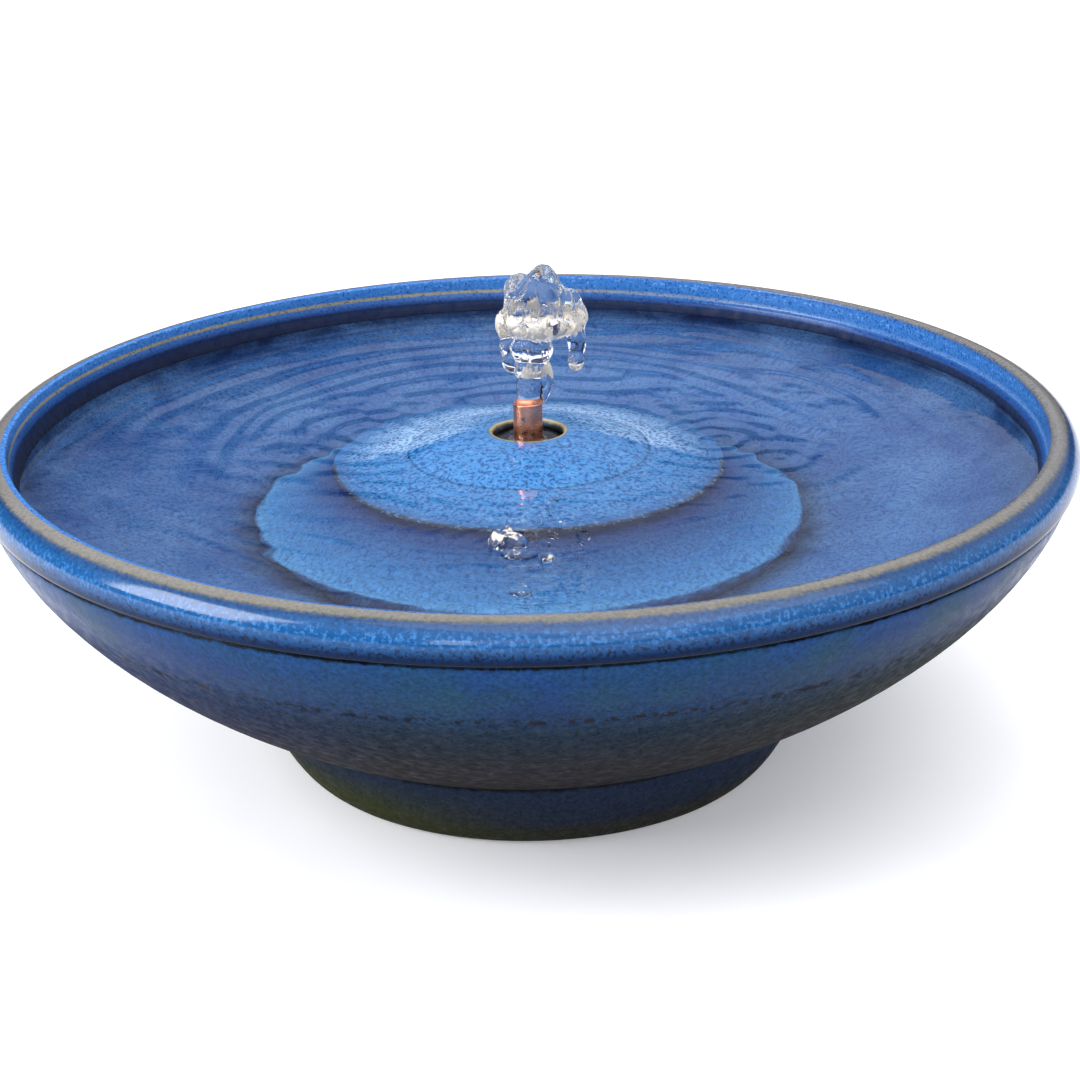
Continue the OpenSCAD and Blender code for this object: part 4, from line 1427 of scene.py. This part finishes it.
@dataclass
class Jet:
    """The water leaving the spout: a clear column under a broken, frothy head.

    Attributes:
        voxel: The size of the cells that its lumps are melted in.
        keep: How much of its height is left when it is turned off; not used.
        froth: How frothy it is at each height over the floor.
    """

    voxel: float = 0.5
    keep: float = 0.02
    froth: tuple[tuple[float, str], ...] = (
        (120.0, "#000000"), (128.5, "#000000"), (130.5, "#e8e8e8"), (133.0, "#e8e8e8"), (136.5, "#303030"),
        (142.5, "#303030"), (145.5, "#ffffff"), (151.5, "#ffffff"), (154.5, "#000000"), (170.0, "#000000"),
    )

    def lumps(self) -> list[Drop]:
        """List the lumps that melt together into the jet, up from the spout."""
        return [
            Drop((0.5, 0, 4), (4.2, 4.2, 7)), Drop((0.6, 0, 10), (4.3, 4.2, 6)),
            Drop((0.8, 0, 16), (5.0, 4.6, 6)), Drop((6.6, -1.0, 9.0), (1.1, 1.0, 5.0), 0.25),
            Drop((7.2, -1.2, 14.5), (1.5, 1.2, 5.0), -0.15), Drop((1.5, 0, 23), (7.2, 6.4, 7.0)),
            Drop((4.4, 0, 32), (13.2, 10.5, 6.4)), Drop((3.2, 0, 38.0), (10.6, 9.2, 9.6)),
            Drop((5.6, 0, 44), (5.2, 5.0, 6.4)), Drop((-1.6, 0, 42.0), (5.6, 5.2, 5.8)),
            Drop((12.3, 0, 36.5), (6.2, 6.0, 6.2)), Drop((16.6, 0, 33), (3.5, 4.0, 5.0)),
            Drop((16.3, -0.5, 25.5), (3.2, 2.8, 7.5)), Drop((16.0, -1, 18.8), (2.9, 2.7, 3.8)),
            Drop((-6.4, -0.5, 31), (3.5, 3.8, 5.5)), Drop((-6.2, -0.8, 24.5), (2.5, 2.7, 5.0)),
            Drop((-5.0, -1.2, 18.8), (3.1, 2.8, 3.9)), Drop((1.2, -2.2, 17.4), (4.6, 3.4, 4.0)),
        ]

    def build(self) -> bpy.types.Object:
        """Melt the lumps together, streak the surface and dress it.

        Returns:
            The jet.
        """
        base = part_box("bowl")[1][2] / MM
        obj = melted("jet_water", self.lumps(), base, self.voxel, 8)
        self.streak(obj, base)
        obj.data.polygons.foreach_set("use_smooth", [True] * len(obj.data.polygons))
        dress(obj, ClearWater(ripple=3.5).material("clear water, frothed jet", self.froth, 0.03))
        settle(obj, "pump", "water", "water_jet")
        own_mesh(obj)
        return obj

    def streak(self, obj: bpy.types.Object, base: float) -> None:
        """Push the surface in and out in upright streaks.

        Args:
            obj: The jet.
            base: The height of the bowl's crest, in millimetres.
        """
        mesh = obj.data
        count = len(mesh.vertices)
        co = np.empty(count * 3)
        mesh.vertices.foreach_get("co", co)
        co = co.reshape(-1, 3)
        normals = np.array([v.normal[:] for v in mesh.vertices])
        up = co[:, 2] / MM - base
        power = np.clip((up - 12) / 12, 0.08, 1.0)
        push = np.array([noise.fractal(Vector((p[0] / MM / 4.5, p[1] / MM / 4.5, p[2] / MM / 7.0)),
                                       1.0, 2.1, 2) for p in co])
        crease = np.array([abs(noise.noise(Vector((p[0] / MM / 5.0 + 7, p[1] / MM / 5.0, p[2] / MM / 8.0))))
                           for p in co])
        move = (0.45 * push - 0.55 * np.clip(0.14 - crease, 0, 1) / 0.14) * power
        co += normals * (move * MM)[:, None]
        mesh.vertices.foreach_set("co", co.ravel())
        mesh.update()


@dataclass
class Splash:
    """Small lumps and streaks of water that the falling jet throws up on the pool.

    Attributes:
        level: The height of the pool.
        voxel: The size of the cells that its lumps are melted in.
        froth: How frothy it is at each height over the floor; whiter on the lumps' tops, partly froth and
            partly painted highlight.
    """

    level: float = 104.8
    voxel: float = 0.45
    # the lumps' white tops are partly froth and partly painted highlight
    froth: tuple[tuple[float, str], ...] = ((104.0, "#303030"), (105.2, "#808080"), (108.0, "#e0e0e0"))

    def lumps(self) -> list[Drop]:
        """List the lumps, with heights over the pool."""
        return [
            Drop((-7.0, -80.0, 0.4), (2.0, 7.0, 2.2), 0.1), Drop((-5.6, -88.0, 0.6), (5.0, 4.4, 3.4)),
            Drop((-10.0, -86.0, 0.6), (2.6, 4.2, 4.0)), Drop((-3.5, -96.0, 0.2), (5.6, 4.4, 1.3)),
            Drop((4.6, -99.0, 0.2), (2.6, 4.0, 1.6)), Drop((-3.3, -124.8, 0.1), (3.6, 4.0, 0.9)),
            Drop((6.3, -57.5, 0.0), (0.9, 7.0, 0.6), 0.2), Drop((9.1, -69.9, 0.0), (0.8, 6.0, 0.6), -0.2),
            Drop((2.5, -66.0, 0.0), (0.7, 8.0, 0.5)), Drop((8.5, -48.0, 0.2), (1.2, 3.0, 0.7)),
        ]

    def build(self) -> bpy.types.Object:
        """Melt the lumps together, ripple them and dress them.

        Returns:
            The splash.
        """
        obj = melted("splash_water", self.lumps(), self.level, self.voxel, 3)
        rippled(obj, 0.5, 3.0)
        dress(obj, ClearWater(ripple=2.0).material("clear water, splashes", self.froth, 0.05))
        settle(obj, "bowl", "water")
        return obj


# ---- the pump ----


@dataclass
class Pump:
    """The hidden pump: its CAD pieces, each in its own finish.

    Attributes:
        finishes: The finish of each piece.
    """

    finishes: dict[str, PumpFinish] = field(default_factory=lambda: {
        "spout_hose": PumpFinish.VINYL, "outlet_nipple": PumpFinish.ABS, "pump_housing": PumpFinish.ABS,
        "potting": PumpFinish.RESIN, "stator_core": PumpFinish.IRON, "coil_bobbin": PumpFinish.NYLON,
        "coil_winding": PumpFinish.WIRE, "rotor_magnet": PumpFinish.FERRITE, "impeller": PumpFinish.NYLON,
        "rotor_shaft": PumpFinish.ALUMINA, "shaft_bushes": PumpFinish.RUBBER, "volute_cover": PumpFinish.ABS,
        "intake_strainer": PumpFinish.ABS, "flow_dial": PumpFinish.ACETAL,
        "suction_cups": PumpFinish.SILICONE, "cord_gland": PumpFinish.RUBBER,
    })

    def build(self) -> None:
        """Dress each CAD piece in its finish."""
        made = {finish: finish.value.material() for finish in set(self.finishes.values())}
        for node, finish in self.finishes.items():
            dress(frame["nodes"][node], made[finish])
            log.info("%s: %s", node, finish.value.name)


# ---- the studio ----


@dataclass
class Studio:
    """The floor, the light and the camera.

    Attributes:
        distance: How far the camera is from the crest's middle, in metres.
        rise: How far it is over the level of the crest, in degrees.
        lens: Its focal length in millimetres.
        pitch: How far it looks below that middle, in degrees.
        yaw: How far it looks to the right of it.
        roll: How far it leans.
    """

    distance: float = 0.9
    rise: float = 18.41
    lens: float = 91.75
    pitch: float = 2.607
    yaw: float = 0.197
    roll: float = -1.2

    def floor(self) -> None:
        """Lay a plain pale floor with a soft matt surface."""
        corners = np.array([[-6000, -6000, 0], [6000, -6000, 0], [6000, 9000, 0], [-6000, 9000, 0]])
        obj = mesh_object("studio_floor", corners, [(0, 1, 2, 3)])
        material, tree, out = new_material("white studio floor, painted")
        spot = add_node(tree, "ShaderNodeTexCoord").outputs["Object"]
        dust = add_node(tree, "ShaderNodeTexNoise", None, {"Vector": spot, "Scale": 30.0, "Detail": 3.0})
        colour = add_node(tree, "ShaderNodeValToRGB", None, {0: dust.outputs[0]},
                          ((0.3, "#f6f6f7"), (0.7, "#f9f9fa"))).outputs[0]
        shader = add_node(tree, "ShaderNodeBsdfPrincipled", None,
                          {"Base Color": colour, "Roughness": 0.9, "Specular IOR Level": 0.0,
                           "Emission Color": linear("#ffffff"), "Emission Strength": 0.2})
        tree.links.new(shader.outputs[0], out.inputs[0])
        dress(obj, material)

    def sky(self) -> None:
        """Fill the room with soft light, dimmer near the floor."""
        world = bpy.data.worlds.new("studio")
        bpy.context.scene.world = world
        world.use_nodes = True
        tree = world.node_tree
        tree.nodes.clear()
        way = add_node(tree, "ShaderNodeTexCoord").outputs["Generated"]
        axes = add_node(tree, "ShaderNodeSeparateXYZ", None, {0: way})
        up = add_node(tree, "ShaderNodeMath", {"operation": "MULTIPLY_ADD"},
                      {0: axes.outputs[0], 1: 0.18, 2: axes.outputs[2]}).outputs[0]
        # a still pool mirrors the low part of the room, so that part sets how deep the water looks
        colour = add_node(tree, "ShaderNodeValToRGB", None, {0: up}, (
            (0.0, "#343a54"), (0.27, "#363e60"), (0.315, "#9098bc"), (0.35, "#b8c0da"), (0.43, "#b4bcd8"),
            (0.54, "#e4e8f6"), (1.0, "#ffffff"),
        )).outputs[0]
        light = add_node(tree, "ShaderNodeBackground", None, {0: colour, 1: 1.15})
        out = add_node(tree, "ShaderNodeOutputWorld")
        tree.links.new(light.outputs[0], out.inputs[0])

    def lamp(self, name: str, at: tuple[float, float, float], size: tuple[float, float], power: float,
             tint: str = "#ffffff") -> None:
        """Hang a soft rectangular light that faces the bowl.

        Args:
            name: The light's name.
            at: Its place, in metres.
            size: Its width and height, in metres.
            power: Its power in watts.
            tint: Its colour.
        """
        data = bpy.data.lights.new(name, "AREA")
        data.shape = "RECTANGLE"
        data.size, data.size_y = size
        data.energy = power
        data.color = linear(tint)[:3]
        obj = bpy.data.objects.new(name, data)
        obj.location = at
        obj.rotation_euler = (Vector((0, 0, 0.08)) - Vector(at)).to_track_quat("-Z", "Y").to_euler()
        bpy.context.scene.collection.objects.link(obj)

    def camera(self) -> None:
        """Set the camera on the bowl, a little off level as it was held."""
        e, a, b, rl = (math.radians(v) for v in (self.rise, self.pitch, self.yaw, self.roll))
        crest = Vector((0, 0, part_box("bowl")[1][2]))
        place = Vector((0, -math.cos(e), math.sin(e))) * self.distance
        ahead = -place.normalized()
        right = Vector((1, 0, 0))
        up = right.cross(ahead)
        ahead, up = (math.cos(a) * ahead - math.sin(a) * up,
                     math.cos(a) * up + math.sin(a) * ahead)
        ahead, right = (math.cos(b) * ahead + math.sin(b) * right,
                        math.cos(b) * right - math.sin(b) * ahead)
        x = math.cos(rl) * right + math.sin(rl) * up
        y = -math.sin(rl) * right + math.cos(rl) * up
        data = bpy.data.cameras.new("camera")
        data.lens = self.lens
        data.sensor_width = 36.0
        data.clip_start, data.clip_end = 0.01, 50.0
        obj = bpy.data.objects.new("camera", data)
        turn = Matrix((x, y, -ahead)).transposed().to_4x4()
        obj.matrix_world = Matrix.Translation(place + crest) @ turn
        bpy.context.scene.collection.objects.link(obj)
        bpy.context.scene.camera = obj

    def build(self) -> None:
        """Set up the whole studio."""
        self.camera()
        self.floor()
        self.sky()
        self.lamp("overhead", (0.45, -0.35, 1.9), (2.0, 2.0), 24.0, "#fffdfa")
        self.lamp("window_left", (-1.5, -0.5, 0.95), (1.0, 1.0), 34.0)
        self.lamp("window_front", (-0.37, -1.48, 0.6), (0.2, 0.45), 1.8)
        self.lamp("fill_front", (0.4, -2.2, 1.0), (1.6, 1.2), 8.0)
        bpy.context.scene.view_settings.view_transform = "Standard"


def main() -> None:
    """Build the bird bath from the bowl up and light it."""
    logging.basicConfig(level=logging.INFO, format="%(name)s: %(message)s")
    Studio().build()
    Bowl().build()
    cover = PumpCover()
    cover.build()
    CopperSpout().build()
    Pump().build()
    Pool().build()
    CapFilm(cover).build()
    Jet().build()
    Splash().build()


if __name__ == "__main__":
    main()
